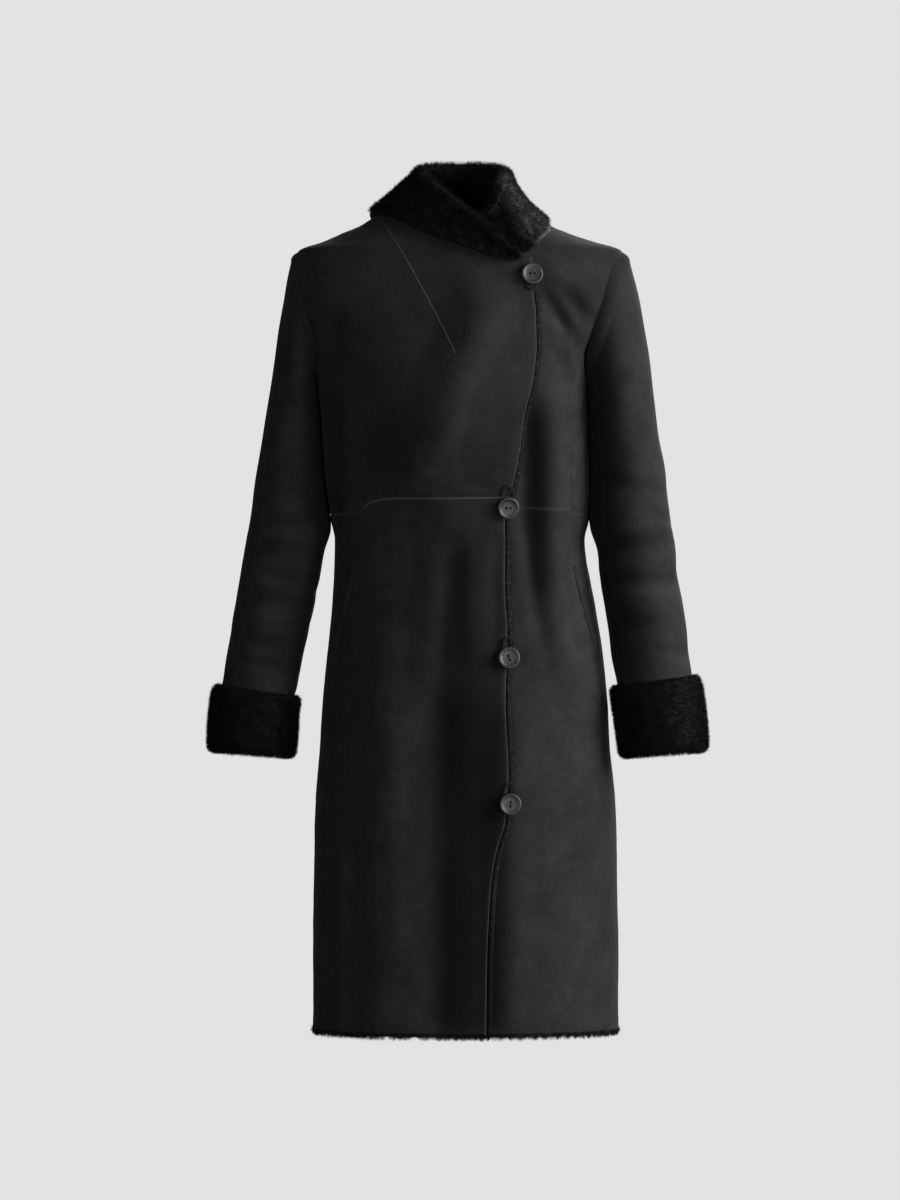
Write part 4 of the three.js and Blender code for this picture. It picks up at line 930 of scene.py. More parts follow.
pucker_waves = waves(13, 8, 9, 26)
PUCKER = 0.45
PUCKER_REACH = 14
PUCKER_START = 3
PALE_WIDTH = 0.9
ARMHOLE_CHANGE = 20
SHOULDER_CHANGE = 8


def side_share(share, heights):
    """A side edge's share: a number, or three of them, low down, at the armhole and shoulder."""
    if not isinstance(share, tuple):
        return share
    low, armhole, shoulder = share
    risen = mix(low, armhole, ease((heights - UNDERARM + ARMHOLE_CHANGE) / ARMHOLE_CHANGE))
    return mix(risen, shoulder, ease((heights - SHOULDER_TIP + SHOULDER_CHANGE) / SHOULDER_CHANGE))


def near_edge(gap, width):
    """1 at an edge, and soon 0 away from it."""
    return np.exp(-((gap / width) ** 2))


def seam_strength(shares, heights, gaps, width):
    """The strongest of the four edges' shares at each place, dying away from the edge."""
    shares = [side_share(shares[0], heights), side_share(shares[1], heights), *shares[2:]]
    return np.maximum.reduce([share * near_edge(gap, width) for share, gap in zip(shares, gaps)])


def panel(name, width, start, end, rows_of, rise, paler, deeper):
    """A body panel. Paler and deeper say how light and how sunk its edges are, in this order:
    start, end, first row and last row."""
    u = seam_spaced(width, GRID_STEP)
    heights = refined(rows_of(u), GRID_STEP)
    first, last = start(heights), end(heights)
    turn = mix(first, last, u)
    across = np.abs(last - first) * girth(heights)
    gaps = [u * across, (1 - u) * across, np.abs(heights - heights[0]), np.abs(heights[-1] - heights)]
    nearest = np.minimum.reduce(gaps)
    dip = SEAM_DIP * seam_strength(deeper, heights, gaps, SEAM_DIP_WIDTH)
    pucker = PUCKER * pucker_waves(turn * girth(heights), heights) * np.exp(-nearest / PUCKER_REACH)
    edge = seam_strength(paler, heights, gaps, PALE_WIDTH)
    out = rise(turn, heights)
    outer = cloth(turn, heights, out - dip + pucker * (1 - np.exp(-nearest / PUCKER_START)))
    inner = cloth(turn, heights, out - WALL)
    # Painted light and shade from the stroke table, kept on the mesh
    nap = nap_lie(surface(turn, heights))
    cover(name, wall_piece(name, outer, inner, [SUEDE, WOOL], edge=edge, nap=nap))


RIGHT_WAIST = -121


def upper_waist(u):
    return upper_waist_line(mix(RIGHT_WAIST, closing_across(SIDE_WAIST), u))


def upper_neck(u):
    guess = mix(NECK_POINT, UPPER_NECK_ROWS[-1][1], u)
    return neck_heights(u, seam_edge(-1, -1, -1), closing_turn, upper_neck_line, guess)


def lower_neck(u):
    guess = mix(LOWER_NECK_ROWS[0][1], NECK_POINT, u)
    return neck_heights(u, lap_turn, seam_edge(1, -1, -1), lower_neck_line, guess)


def back_neck(u):
    return back_neck_line(mix(BACK_NECK_ROWS[-1][0], BACK_NECK_ROWS[0][0], u))


UPPER_TIP_START = 0.25
LOWER_TIP_END = 0.65
BACK_TIP = -60


def upper_tip(u):
    return mix(SHOULDER_TIP, CLOSING_TIP, ease((u - UPPER_TIP_START) / (1 - UPPER_TIP_START)))


def lower_tip(u):
    return mix(SHOULDER_TIP, CLOSING_TIP, ease((LOWER_TIP_END - u) / LOWER_TIP_END))


def back_tip(u):
    return mix(SHOULDER_TIP, BACK_TIP, np.sin(math.pi * u))


def level(height):
    return lambda u: np.full_like(u, height)


HALF_GAP = SEAM_GAP / 2
WAIST_PALE = 0.5
LEFT_WAIST_PALE = 0.22
SEAM_PALE = 0.06
CUT_PALE = 0.3
RIGHT_SIDE_PALE = (0.0, 0.42, 0.04)
LEFT_SIDE_PALE = (0.1, 0.75, 0.06)
BACK_SIDE_PALE = (0.06, 0.5, 0.06)

panel(
    "front_bodice_right", 300, seam_edge(-1, -1, -1), closing_turn,
    lambda u: bodice_rows(upper_waist(u) + HALF_GAP, upper_neck(u), upper_tip(u)), lap_rise,
    (RIGHT_SIDE_PALE, CUT_PALE, WAIST_PALE, 0), ((0, 1, 0.5), 0.6, 0.7, 0),
)
panel(
    "front_bodice_left", 200, lap_turn, seam_edge(1, -1, -1),
    lambda u: bodice_rows(level(LOWER_WAIST + HALF_GAP)(u), lower_neck(u), lower_tip(u)), no_rise,
    (0, LEFT_SIDE_PALE, LEFT_WAIST_PALE, 0), (0, (0.3, 1, 0.5), 0.5, 0),
)
panel(
    "back_bodice", 400, back_edge(1), back_edge(-1),
    lambda u: bodice_rows(level(SIDE_WAIST + HALF_GAP)(u), back_neck(u), back_tip(u)), no_rise,
    (BACK_SIDE_PALE, BACK_SIDE_PALE, WAIST_PALE, 0), ((0.5, 1, 0.5), (0.5, 1, 0.5), 0.7, 0),
)
panel(
    "front_skirt_right", 230, seam_edge(-1, -1, -1), closing_turn,
    lambda u: skirt_rows(upper_waist(u) - HALF_GAP, True)[::-1], lap_rise,
    (0, CUT_PALE, 0, WAIST_PALE), (0.1, 0.6, 0, 0.7),
)
panel(
    "front_skirt_left", 220, lap_turn, seam_edge(1, -1, -1),
    lambda u: skirt_rows(level(LOWER_WAIST - HALF_GAP)(u), True)[::-1], no_rise,
    (0, 0, 0, LEFT_WAIST_PALE), (0, 0.1, 0, 0.5),
)
panel(
    "back_skirt", 320, back_edge(1), back_edge(-1),
    lambda u: skirt_rows(level(SIDE_WAIST - HALF_GAP)(u), False)[::-1], no_rise,
    (SEAM_PALE, SEAM_PALE, 0.1, WAIST_PALE), (0.4, 0.4, 0, 0.7),
)

SIDES = ((1, "left"), (-1, "right"))
for side, word in SIDES:
    near, far = seam_edge(side, -1, 1), seam_edge(side, 1, -1)
    bodice_heights = (
        SIDE_WAIST + HALF_GAP, LOWER_WAIST, *LOWER_BODICE_HEIGHTS[:-1], UNDERARM - SEAM_GAP,
    )
    panel(
        f"side_bodice_{word}", 150, near, far,
        lambda u, heights=bodice_heights: [np.full_like(u, height) for height in heights], no_rise,
        (0.02, 0.03, LEFT_WAIST_PALE, SEAM_PALE), (0.1, 0.5, 0.4, 0.5),
    )
    panel(
        f"side_skirt_{word}", 150, near, far,
        lambda u: skirt_rows(level(SIDE_WAIST - HALF_GAP)(u), False)[::-1], no_rise,
        (0, SEAM_PALE, 0.1, LEFT_WAIST_PALE), (0.1, 0.4, 0, 0.4),
    )


# Wool at the hem and along the closing edge, and the pocket welts

HEM_SET_IN = 1.5
HEM_WOOL = 4.5
HEM_STEP = 3
HEM_ROWS = 6
HAIRS_BELOW = 8
HEM_FLUFF = 0.8
HEM_FLUFF_MOST = 1.2
HEM_TAPER = 1.6
wool_waves = waves(14, 10, 5, 15)


def hem_wool(name, width, start, end, rise):
    """The wool under a panel's hem, which the hem's hairs reach below."""
    u = np.linspace(0, 1, round(width / HEM_STEP))
    heights = np.linspace(WOOL_HEM + HAIRS_BELOW, HEM - SEAM_GAP, HEM_ROWS)[:, None] + 0 * u
    turn = mix(start(heights), end(heights), u)
    fluff = np.minimum(HEM_FLUFF * wool_waves(turn * girth(heights), heights), HEM_FLUFF_MOST)
    lowest = np.linspace(HEM_TAPER, 0, HEM_ROWS)[:, None]
    outer = cloth(turn, heights, rise(turn, heights) - HEM_SET_IN - lowest + fluff)
    inner = cloth(turn, heights, rise(turn, heights) - HEM_SET_IN - HEM_WOOL + lowest)
    cover(name, wall_piece(name, outer, inner, [EDGE_WOOL]))


# The strip's section: off the panel's edge, and the height over the surface
EDGE_SECTION = ((0.4, 2.2), (0.3 * EDGE_WIDTH, 4.6), (0.7 * EDGE_WIDTH, 4.4), (EDGE_WIDTH, 1.8))
EDGE_UNDER = 0.9
EDGE_TOP = -88
EDGE_STEP = 3
EDGE_FLUFF = 0.5
EDGE_STRETCH = 0.3
EDGE_SHADE = -0.2
LOW_SHADE = 0.6
LOW_SHADE_TOP = -820
LOW_SHADE_FADE = 120
SCALLOP_STEP = 9
SCALLOP_END = -760
SCALLOP_FADE = 300
SCALLOP_DEEP = 0.8
SCALLOP_SHADE = 0.5


def edge_spots(heights, off, top):
    turns_along = [turn_at(float(closing_across(h)) + off, h, -1) for h in heights]
    return cloth(np.array(turns_along), heights, np.full(len(heights), top))


def edge_nap(spots):
    """The closing strip's wool: a little darker all along, with painted shade that deepens towards the hem.
    """
    return EDGE_SHADE - LOW_SHADE * ease((LOW_SHADE_TOP - spots[:, 2]) / LOW_SHADE_FADE)


def scallops(heights):
    """Short tufts along the strip, which fade out towards its lower end."""
    return np.sin(heights * 2 * math.pi / SCALLOP_STEP) * ease((heights - SCALLOP_END) / SCALLOP_FADE)


def edge_wool(name, heights):
    heights = refined([np.array([h]) for h in heights], EDGE_STEP)[:, 0]
    tufts = scallops(heights)
    fluff = EDGE_FLUFF * wool_waves(heights, heights * EDGE_STRETCH) + SCALLOP_DEEP * tufts
    outer = np.stack([edge_spots(heights, off, top) for off, top in EDGE_SECTION], axis=1)
    outer[:, 1:3, 0] += fluff[:, None]
    inner = np.stack([edge_spots(heights, off, EDGE_UNDER) for off, top in EDGE_SECTION], axis=1)
    # Painted light where the tufts bulge out and painted shade between them, over the strip's painted shade
    nap = edge_nap(outer.reshape(-1, 3)).reshape(outer.shape[:2]) + SCALLOP_SHADE * tufts[:, None]
    cover(name, wall_piece(name, outer, inner, [EDGE_WOOL], nap=nap))


hem_wool("hem_wool_front_right", 230, seam_edge(-1, -1, -1), closing_turn, lap_rise)
hem_wool("hem_wool_front_left", 220, lap_turn, seam_edge(1, -1, -1), no_rise)
hem_wool("hem_wool_back", 620, seam_edge(1, -1, 1), lambda h: 2 + seam_edge(-1, -1, 1)(h), no_rise)
last = np.ones(1)
bodice_ends = bodice_rows(upper_waist(last) + HALF_GAP, upper_neck(last), upper_tip(last))
bodice_edge = [float(row[0]) for row in bodice_ends if row[0] < EDGE_TOP]
edge_wool("front_edge_bodice", bodice_edge)
skirt_top = float(upper_waist(last)[0]) - HALF_GAP
edge_wool("front_edge_skirt", [skirt_top, *SKIRT_HEIGHTS][::-1])

WELT_LIFT = 0.4
WELT_THICK = 1.0
WELT_TOP = -435
WELT_BOTTOM = -591
WELT_ROWS = 46
WELT_SHARES = (0, 0.08, 0.25, 0.5, 0.75, 0.92, 1)
WELT_CROWN = (0.5, 0.9, 1, 1, 1, 0.9, 0.5)
WELT_PALE = 0.12
for side, word in SIDES:
    heights = np.linspace(WELT_BOTTOM, WELT_TOP, WELT_ROWS)
    share, crown = np.array(WELT_SHARES), np.array(WELT_CROWN)
    middle_turn = SEAMS[side, -1](heights)[:, None]
    turn = middle_turn + (share - 0.5) * WELT_WIDTH / girth(heights)[:, None]
    levels = heights[:, None] + 0 * share
    outer = cloth(turn, levels, WELT_LIFT + WELT_THICK * crown + 0 * turn)
    inner = cloth(turn, levels, WELT_LIFT + 0 * turn)
    pale = np.where(np.abs(share - 0.5) > 0.4, WELT_PALE, 0) + 0 * turn
    name = f"pocket_welt_{word}"
    cover(name, wall_piece(name, outer, inner, [SUEDE], edge=pale))


# Sleeves


def sleeve_surface(side, share, height):
    """A place round a sleeve: share 0 is its outer side, 0.25 its front, 0.5 its inner side."""
    word = "left" if side > 0 else "right"
    outer_x, inner_x = sleeve[f"{word}_outer"](height), sleeve[f"{word}_inner"](height)
    outer_z, inner_z = sleeve["outer_z"](height), sleeve["inner_z"](height)
    cosine, sine = np.cos(2 * math.pi * share), np.sin(2 * math.pi * share)
    x = (outer_x + inner_x) / 2 + cosine * (outer_x - inner_x) / 2
    y = sleeve["middle"](height) - sine * sleeve["half_depth"](height)
    z = (outer_z + inner_z) / 2 + cosine * (outer_z - inner_z) / 2
    return np.stack(np.broadcast_arrays(x, y, z), axis=-1)


SHARE_STEP = 0.01
FIRST_SECTION = SLEEVE_ROWS[0][0]
LAST_SECTION = SLEEVE_ROWS[-1][0]


def sleeve_normal(side, share, height):
    """The way out of a sleeve at each place."""
    above = np.minimum(FIRST_SECTION, height + HEIGHT_STEP)
    below = np.maximum(LAST_SECTION, height - HEIGHT_STEP)
    down = sleeve_surface(side, share, below) - sleeve_surface(side, share, above)
    round_way = sleeve_surface(side, share + SHARE_STEP, height)
    round_way = round_way - sleeve_surface(side, share - SHARE_STEP, height)
    return unit(np.cross(down, round_way)) * -side


def sleeve_spot(side, share, height, out):
    share, height = np.broadcast_arrays(np.asarray(share, float), np.asarray(height, float))
    normal = sleeve_normal(side, share, height)
    return sleeve_surface(side, share, height) + normal * np.asarray(out)[..., None]


SLEEVE_GIRTH = 260
sleeve_waves = {1: waves(21, 9, 40, 130), -1: waves(22, 9, 40, 130)}
SLEEVE_WAVE_HEIGHT = 0.8


def wrinkles(side, wrapped, height, lift):
    """How deep the wrinkles are, looked at a share of their width above each."""
    deep = 0 * height * wrapped
    for row_side, middle, row_share, reach, width, depth, slope in WRINKLE_ROWS:
        if row_side == side:
            round_way = (wrapped - row_share) / reach
            up = (height - middle - slope * (wrapped - row_share)) / width - lift
            deep = deep + depth * np.exp(-(round_way**2) - up**2)
    return deep


def wrinkle_rise(side, share, height):
    wrapped = share - np.floor(share)
    rise = SLEEVE_WAVE_HEIGHT * sleeve_waves[side](share * SLEEVE_GIRTH, height)
    inner = np.exp(-(((wrapped - 0.5) / TOUCH_REACH) ** 2))
    rise = mix(rise, UNDERARM_TOUCH, inner * ease((height - TOUCH_LOW[side]) / TOUCH_FADE))
    return rise - wrinkles(side, wrapped, height, 0)


# Painted shade on a wrinkle's upper flank, which faces away from the lamp, and painted light on its lower
# one, for each mm of depth
CREASE_PAINTED_SHADE = {1: 0.1, -1: 0.045}
CREASE_PAINTED_LIGHT = {1: 0.05, -1: 0.015}
FLANK = 0.7


def sleeve_nap(side, share, height):
    """How much painted light, or painted shade below 0, lies on each place of a sleeve."""
    wrapped = share - np.floor(share)
    rise = 0 * height * share
    for row_side, top, low, row_share, reach, depth in SLEEVE_PAINTED_SHADING_ROWS:
        if row_side == side:
            fade = end_fade(top - height, height - low)
            rise = rise - depth * fade * np.exp(-(((wrapped - row_share) / reach) ** 2))
    rise = rise - CREASE_PAINTED_SHADE[side] * wrinkles(side, wrapped, height, FLANK)
    rise = rise + CREASE_PAINTED_LIGHT[side] * wrinkles(side, wrapped, height, -FLANK)
    return np.maximum(DARKEST, rise)


# The sleeve's first loop, which stands on the body round the armhole
ARMHOLE_STEPS = 120
SLEEVE_CLEAR = -1.2
SLEEVE_FLARE = 1.5
JUST_BELOW = 1e-6
FLARE_REACH = 0.16

# Under the arm, the sleeve is pushed out until it touches the body
UNDERARM_TOUCH = 5
TOUCH_LOW = {1: -397, -1: -414}
TOUCH_REACH = 0.13
TOUCH_FADE = 40


def armhole_table():
    """Lengths, depths and heights along the front half of the armhole."""
    shares = np.linspace(0, 1, ARMHOLE_STEPS + 1)
    heights = mix(SHOULDER_TIP, UNDERARM, (1 - np.cos(math.pi * shares)) / 2)
    deeps = np.array([-side_flat(height - JUST_BELOW) for height in heights])
    heights, deeps = np.append(heights, UNDERARM), np.append(deeps, 0)
    steps = np.hypot(np.diff(deeps), np.diff(heights))
    lengths = np.concatenate([[0], np.cumsum(steps)])
    return lengths / lengths[-1], deeps, heights


ARMHOLE_LENGTHS, ARMHOLE_DEEPS, ARMHOLE_LEVELS = armhole_table()
BACK_SHARES = np.array([share for points, lengths, share in sections])
CORNERS = np.array([lengths[SECTION_STEPS] / lengths[-1] for points, lengths, share in sections])


def armhole_at(share):
    wrapped = share - np.floor(share)
    front = wrapped <= 0.5
    goal = np.where(front, wrapped, 1 - wrapped) * 2
    height = np.interp(goal, ARMHOLE_LENGTHS, ARMHOLE_LEVELS)
    deep = np.interp(goal, ARMHOLE_LENGTHS, ARMHOLE_DEEPS)
    back = np.interp(-height, -HEIGHTS, BACK_SHARES)
    return np.where(front, deep, -deep * back), height


ARMHOLE_STEP = 0.004


def armhole_spot(side, share, spread):
    """A place on the body round the armhole, moved away from the hole by the spread."""
    deep, height = armhole_at(share)
    before_deep, before_height = armhole_at(share - ARMHOLE_STEP)
    after_deep, after_height = armhole_at(share + ARMHOLE_STEP)
    length = np.hypot(after_deep - before_deep, after_height - before_height)
    out_deep = (after_height - before_height) / length
    out_up = -(after_deep - before_deep) / length
    corner = side * np.interp(-height, -HEIGHTS, CORNERS)
    edge = surface(corner, height)[..., 0]
    spots = [edge + side * SLEEVE_CLEAR, deep + out_deep * spread, height + out_up * spread]
    return np.stack(spots, axis=-1)


def sleeve_flare(share):
    wrapped = share - np.floor(share)
    return SLEEVE_FLARE * ease(np.minimum(wrapped, 1 - wrapped) / FLARE_REACH)


# The sleeve's head, between the armhole and the first section
CAP_ROWS = 14
CAP_CUTS = (0, 0.012, 0.024, 0.036, 0.05, 0.08)
CAP_START = 0.16
CAP_LENGTH = 90
ROLL_WIDTH = 2
UNDER_SEAM = 0.0006
PALE_CUTS = 4
PALE_FROM = -190
PALE_FADE = 90
ARMHOLE_PALE_LEAST = 0.03
ARMHOLE_PALE = {1: 0.6, -1: 0.1}
SLEEVE_PALE = {1: 0.01, -1: 0.05}
CAP_FULLNESS = 3.2
INNER_FULLNESS = 0.35
FULLNESS_FADE = 1.4
sleeve_sections = [row[0] for row in SLEEVE_ROWS if row[0] > SLEEVE_END] + [SLEEVE_END]


def sleeve_piece(name, side, width, start, end):
    """A top or an under sleeve between two shares of the way round, from the armhole down."""
    u = seam_spaced(width, GRID_STEP)
    share = mix(start + UNDER_SEAM, end - UNDER_SEAM, u)
    gap = np.minimum(u, 1 - u) * width
    dip = SEAM_DIP * near_edge(gap, SEAM_DIP_WIDTH)
    levels = refined([np.array([h], float) for h in sleeve_sections], GRID_STEP)[2:, 0]
    levels = np.concatenate([[sleeve_sections[0]], levels])
    heights = levels[:, None] + 0 * share
    rise = wrinkle_rise(side, share, heights)
    cuts = np.array([*CAP_CUTS, *np.linspace(CAP_START, 1, CAP_ROWS)])[:-1, None]
    outer_side = ease((np.cos(2 * math.pi * share) + 1) / FULLNESS_FADE)
    fullness = INNER_FULLNESS + (1 - INNER_FULLNESS) * outer_side
    cap_full = CAP_FULLNESS * 4 * cuts * (1 - cuts) * fullness
    grids = []
    for depth, sewn in ((0, dip), (WALL, 0 * dip)):
        hole = armhole_spot(side, share, sleeve_flare(share) - depth)
        first = sleeve_spot(side, share, heights[0], rise[0] - depth - sewn)
        normal = sleeve_normal(side, share, heights[0])
        roll = SEAM_DIP * near_edge(cuts[..., None] * CAP_LENGTH, ROLL_WIDTH) if depth == 0 else 0
        cap = mix(hole, first, cuts[..., None]) + normal * cap_full[..., None] - normal * roll
        lower = sleeve_spot(side, share, heights, rise - depth - sewn)
        grids.append(np.concatenate([cap, lower]))
    rows = len(cuts) + len(levels)
    edge = np.zeros((rows, len(u))) + SLEEVE_PALE[side] * near_edge(gap, PALE_WIDTH)
    shoulder = ease((grids[0][:PALE_CUTS, :, 2] - PALE_FROM) / PALE_FADE)
    edge[:PALE_CUTS] = np.maximum(ARMHOLE_PALE_LEAST, ARMHOLE_PALE[side] * shoulder)
    # Painted light and shade on the sleeve, kept on the mesh
    nap = sleeve_nap(side, share, grids[0][..., 2])
    cover(name, wall_piece(name, *grids, [SUEDE, WOOL], edge=edge, nap=nap))


for side, word in SIDES:
    sleeve_piece(f"sleeve_top_{word}", side, 190, -SLEEVE_SEAM, SLEEVE_SEAM)
    sleeve_piece(f"sleeve_under_{word}", side, 80, SLEEVE_SEAM, 1 - SLEEVE_SEAM)


# Turned-back cuffs and the collar


def closed_spline(points, steps):
    """A closed smooth line through the points, along the first axis."""
    a, b, c, d = (np.roll(points, shift, axis=0) for shift in (1, 0, -1, -2))
    rows = [catmull(a, b, c, d, k / steps) for k in range(steps)]
    return np.stack(rows, axis=1).reshape(-1, *points.shape[1:])


def catmull(a, b, c, d, t):
    curve = 2 * b + (c - a) * t + (2 * a - 5 * b + 4 * c - d) * t**2 + (3 * b - a - 3 * c + d) * t**3
    return 0.5 * curve


CUFF_LOOPS = 110
CUFF_OUTER = 6
CUFF_STEPS = 4
CUFF_LUMP = 0.5
HAIR_ROOM = 1.5
fur_waves = waves(31, 12, 9, 40)


def cuff_piece(side, word):
    """A cuff, with its loops. Its face lies a little inside the solid's, to leave room for hairs."""
    top = CUFF_TOPS[side]
    rows = closed_spline(np.array(CUFF_ROWS, float), CUFF_STEPS)
    share = np.arange(CUFF_LOOPS)[:, None] / CUFF_LOOPS
    heights = mix(top, CUFF_BOTTOM, rows[:, 1])[None, :] + 0 * share
    lumps = CUFF_LUMP * fur_waves(share * SLEEVE_GIRTH, heights) * ease((rows[:, 0] - 2) / 5)
    room = HAIR_ROOM * ease((rows[:, 0] - 5) / 4)
    loops = sleeve_spot(side, share + 0 * heights, heights, rows[:, 0] + lumps - room)
    cover(f"cuff_{word}", loops_piece(f"cuff_{word}", loops, True, [FUR]))
    return loops


def collar_stations():
    """The collar table's columns, with the turns of its edge and its neck, and the neck's height."""
    stations = {name: column(COLLAR_ROWS, COLLAR_COLUMNS, name) for name in COLLAR_COLUMNS}
    neck_z, edge_turn, neck_turn = [], [], []
    keys = ("edge_x", "edge_z", "neck_x", "face")
    for index in range(len(COLLAR_ROWS)):
        edge_x, edge_z, neck_x, face = (stations[name][index] for name in keys)
        first = index < FIRST_BACK_ROW
        front = upper_neck_line if first else lower_neck_line
        line = back_neck_line if face > 0 else front
        height = float(line(neck_x + (-NECK_INSET if first else NECK_INSET))) + NECK_CLEAR
        neck_z.append(height)
        for found, x, z in ((edge_turn, edge_x, edge_z), (neck_turn, neck_x, height)):
            turn = turn_at(x, z, face)
            found.append(turn - 2 if turn > 0 and not first else turn)
    stations.update(neck_z=np.array(neck_z), edge_turn=np.array(edge_turn), neck_turn=np.array(neck_turn))
    return stations


def along_stations(values, place):
    final = len(values) - 1
    i = min(final - 1, int(place))
    a, b, c, d = (values[min(final, max(0, i + k))] for k in (-1, 0, 1, 2))
    return catmull(a, b, c, d, place - i)


def one(value):
    return np.array(float(value))


STATION_STEP = 0.25
NECK_SINK = 0.6
FALL_SHARES = (0.35, 0.7)
SHOULDER_OUT = 0.55
SHOULDER_DOWN = 0.2
SIDE_DOWN = 0.9

def collar_loop(stations, place):
    """A closed loop round the folded collar: its fur side first, then its skin side."""
    value = {name: along_stations(values, place) for name, values in stations.items()}
    final = len(COLLAR_ROWS) - 1
    roll = np.array([value["roll_x"], value["roll_y"], value["roll_z"]])
    wall = value["wall"]
    ahead, behind = min(final, place + STATION_STEP), max(0, place - STATION_STEP)
    run = unit(np.array([
        along_stations(stations[name], ahead) - along_stations(stations[name], behind)
        for name in ("roll_x", "roll_y", "roll_z")
    ]))
    upper = place < FIRST_BACK_ROW - 1
    edge_turn, edge_z = one(value["edge_turn"]), one(value["edge_z"])
    neck_turn, neck_z = one(value["neck_turn"]), one(value["neck_z"])
    lap = float(lap_rise(edge_turn, edge_z)) if upper else 0
    neck_lap = float(lap_rise(neck_turn, neck_z)) if upper else 0
    edge_skin = cloth(edge_turn, edge_z, one(lap + value["lift"]))
    edge_fur = cloth(edge_turn, edge_z, one(lap + value["lift"] + value["edge_wall"]))
    neck_skin = cloth(neck_turn, neck_z, one(neck_lap - NECK_SINK))
    neck_fur = cloth(neck_turn, neck_z, one(neck_lap - NECK_SINK - wall))
    out = np.cross(np.cross(run, unit(edge_fur - roll)), run)
    across = np.array([out[0], out[1], 0]) / np.linalg.norm(out)
    across = unit(across - run * across.dot(run))
    up = unit(np.cross(across, run))
    if up[2] < 0:
        up = -up

    def part(off, rise):
        return roll + across * off + up * rise

    def fall(a, b, share):
        return mix(a, b, share) - across * value["hollow"] * 4 * share * (1 - share)

    outer = part(wall + FOLD_GAP / 2, -wall * SIDE_DOWN)
    inner = part(-wall - FOLD_GAP / 2, -wall * SIDE_DOWN)
    skin_outer = part(FOLD_GAP / 2, -wall - 1)
    skin_inner = part(-FOLD_GAP / 2, -wall - 1)
    return np.array([
        edge_fur, *(fall(edge_fur, outer, share) for share in FALL_SHARES), outer,
        part(wall * SHOULDER_OUT, -wall * SHOULDER_DOWN), roll,
        part(-wall * SHOULDER_OUT, -wall * SHOULDER_DOWN), inner,
        *(mix(inner, neck_fur, share) for share in FALL_SHARES), neck_fur, neck_skin,
        mix(neck_skin, skin_inner, 0.4), skin_inner,
        skin_outer, fall(skin_outer, edge_skin, 0.6), edge_skin,
    ])


# A painted highlight on the left lapel: it starts on a slanted line and fades towards its ends and the back
LIT_LAPEL = 16
LIT_START = 44
LIT_START_HEIGHT = 30
LIT_SLANT = 0.45
LIT_FADE = 24
LIT_TOP = 70
LIT_TOP_FADE = 30
LIT_LOW = -40
LIT_LOW_FADE = 12
LIT_BACK = 5
LIT_BACK_FADE = 40


def collar_nap(spots):
    """A painted highlight where the left lapel's fur faces the lamp."""
    x, y, z = spots[:, 0], spots[:, 1], spots[:, 2]
    lit = ease((x - LIT_START - LIT_SLANT * (LIT_START_HEIGHT - z)) / LIT_FADE)
    lit = lit * ease((LIT_TOP - z) / LIT_TOP_FADE) * ease((z - LIT_LOW) / LIT_LOW_FADE)
    return LIT_LAPEL * lit * ease((LIT_BACK - y) / LIT_BACK_FADE)


COLLAR_LOOPS = 170
COLLAR_FUR_POINTS = 11
COLLAR_STEPS = 4


def collar_piece():
    """The collar, with its loops."""
    stations = collar_stations()
    final = len(COLLAR_ROWS) - 1
    loops = []
    for k in range(COLLAR_LOOPS + 1):
        loop = collar_loop(stations, final * k / COLLAR_LOOPS)
        loops.append(closed_spline(loop, COLLAR_STEPS))
    loops = np.array(loops)
    # The collar carries the lapel's painted highlight
    cover("collar", loops_piece("collar", loops, False, [FUR], collar_nap))
    return loops


collar_loops = collar_piece()
cuff_loops = {side: cuff_piece(side, word) for side, word in SIDES}


# Fur


def grid_triangles(rows, columns, wrapped=False):
    quads = grid_faces(rows, columns)
    if wrapped:
        last_row = (rows - 1) * columns
        i = np.arange(columns - 1)
        joined = np.stack([last_row + i, last_row + i + 1, i + 1, i], axis=1)
        quads = np.concatenate([quads, joined])
    return np.concatenate([quads[:, :3], quads[:, [0, 2, 3]]])


def sampled(points, triangles, count, random):
    """Places spread evenly over triangles, with the normals there."""
    a, b, c = (points[triangles[:, k]] for k in (0, 1, 2))
    normals = np.cross(b - a, c - a)
    sizes = np.linalg.norm(normals, axis=1)
    chosen = random.choice(len(triangles), size=count, p=sizes / sizes.sum())
    s, t = random.random(count), random.random(count)
    folded = s + t > 1
    s, t = np.where(folded, 1 - s, s), np.where(folded, 1 - t, t)
    spots = a[chosen] + (b - a)[chosen] * s[:, None] + (c - a)[chosen] * t[:, None]
    return spots, unit(normals)[chosen]


HAIR_SPREAD = 0.3
HAIR_SIZES = (0.65, 1.15)
HAIR_BEND = 0.45
HAIR_DROOP = 0.5
HAIR_ROOT = 0.6
LOWER_LENGTH = 0.55
UPPER_LENGTH = 0.5
MIDDLE_WIDTH = 0.7
HAIR_CORNERS = 5
HAIR_FACES = ((0, 1, 2), (0, 2, 3), (3, 2, 4))


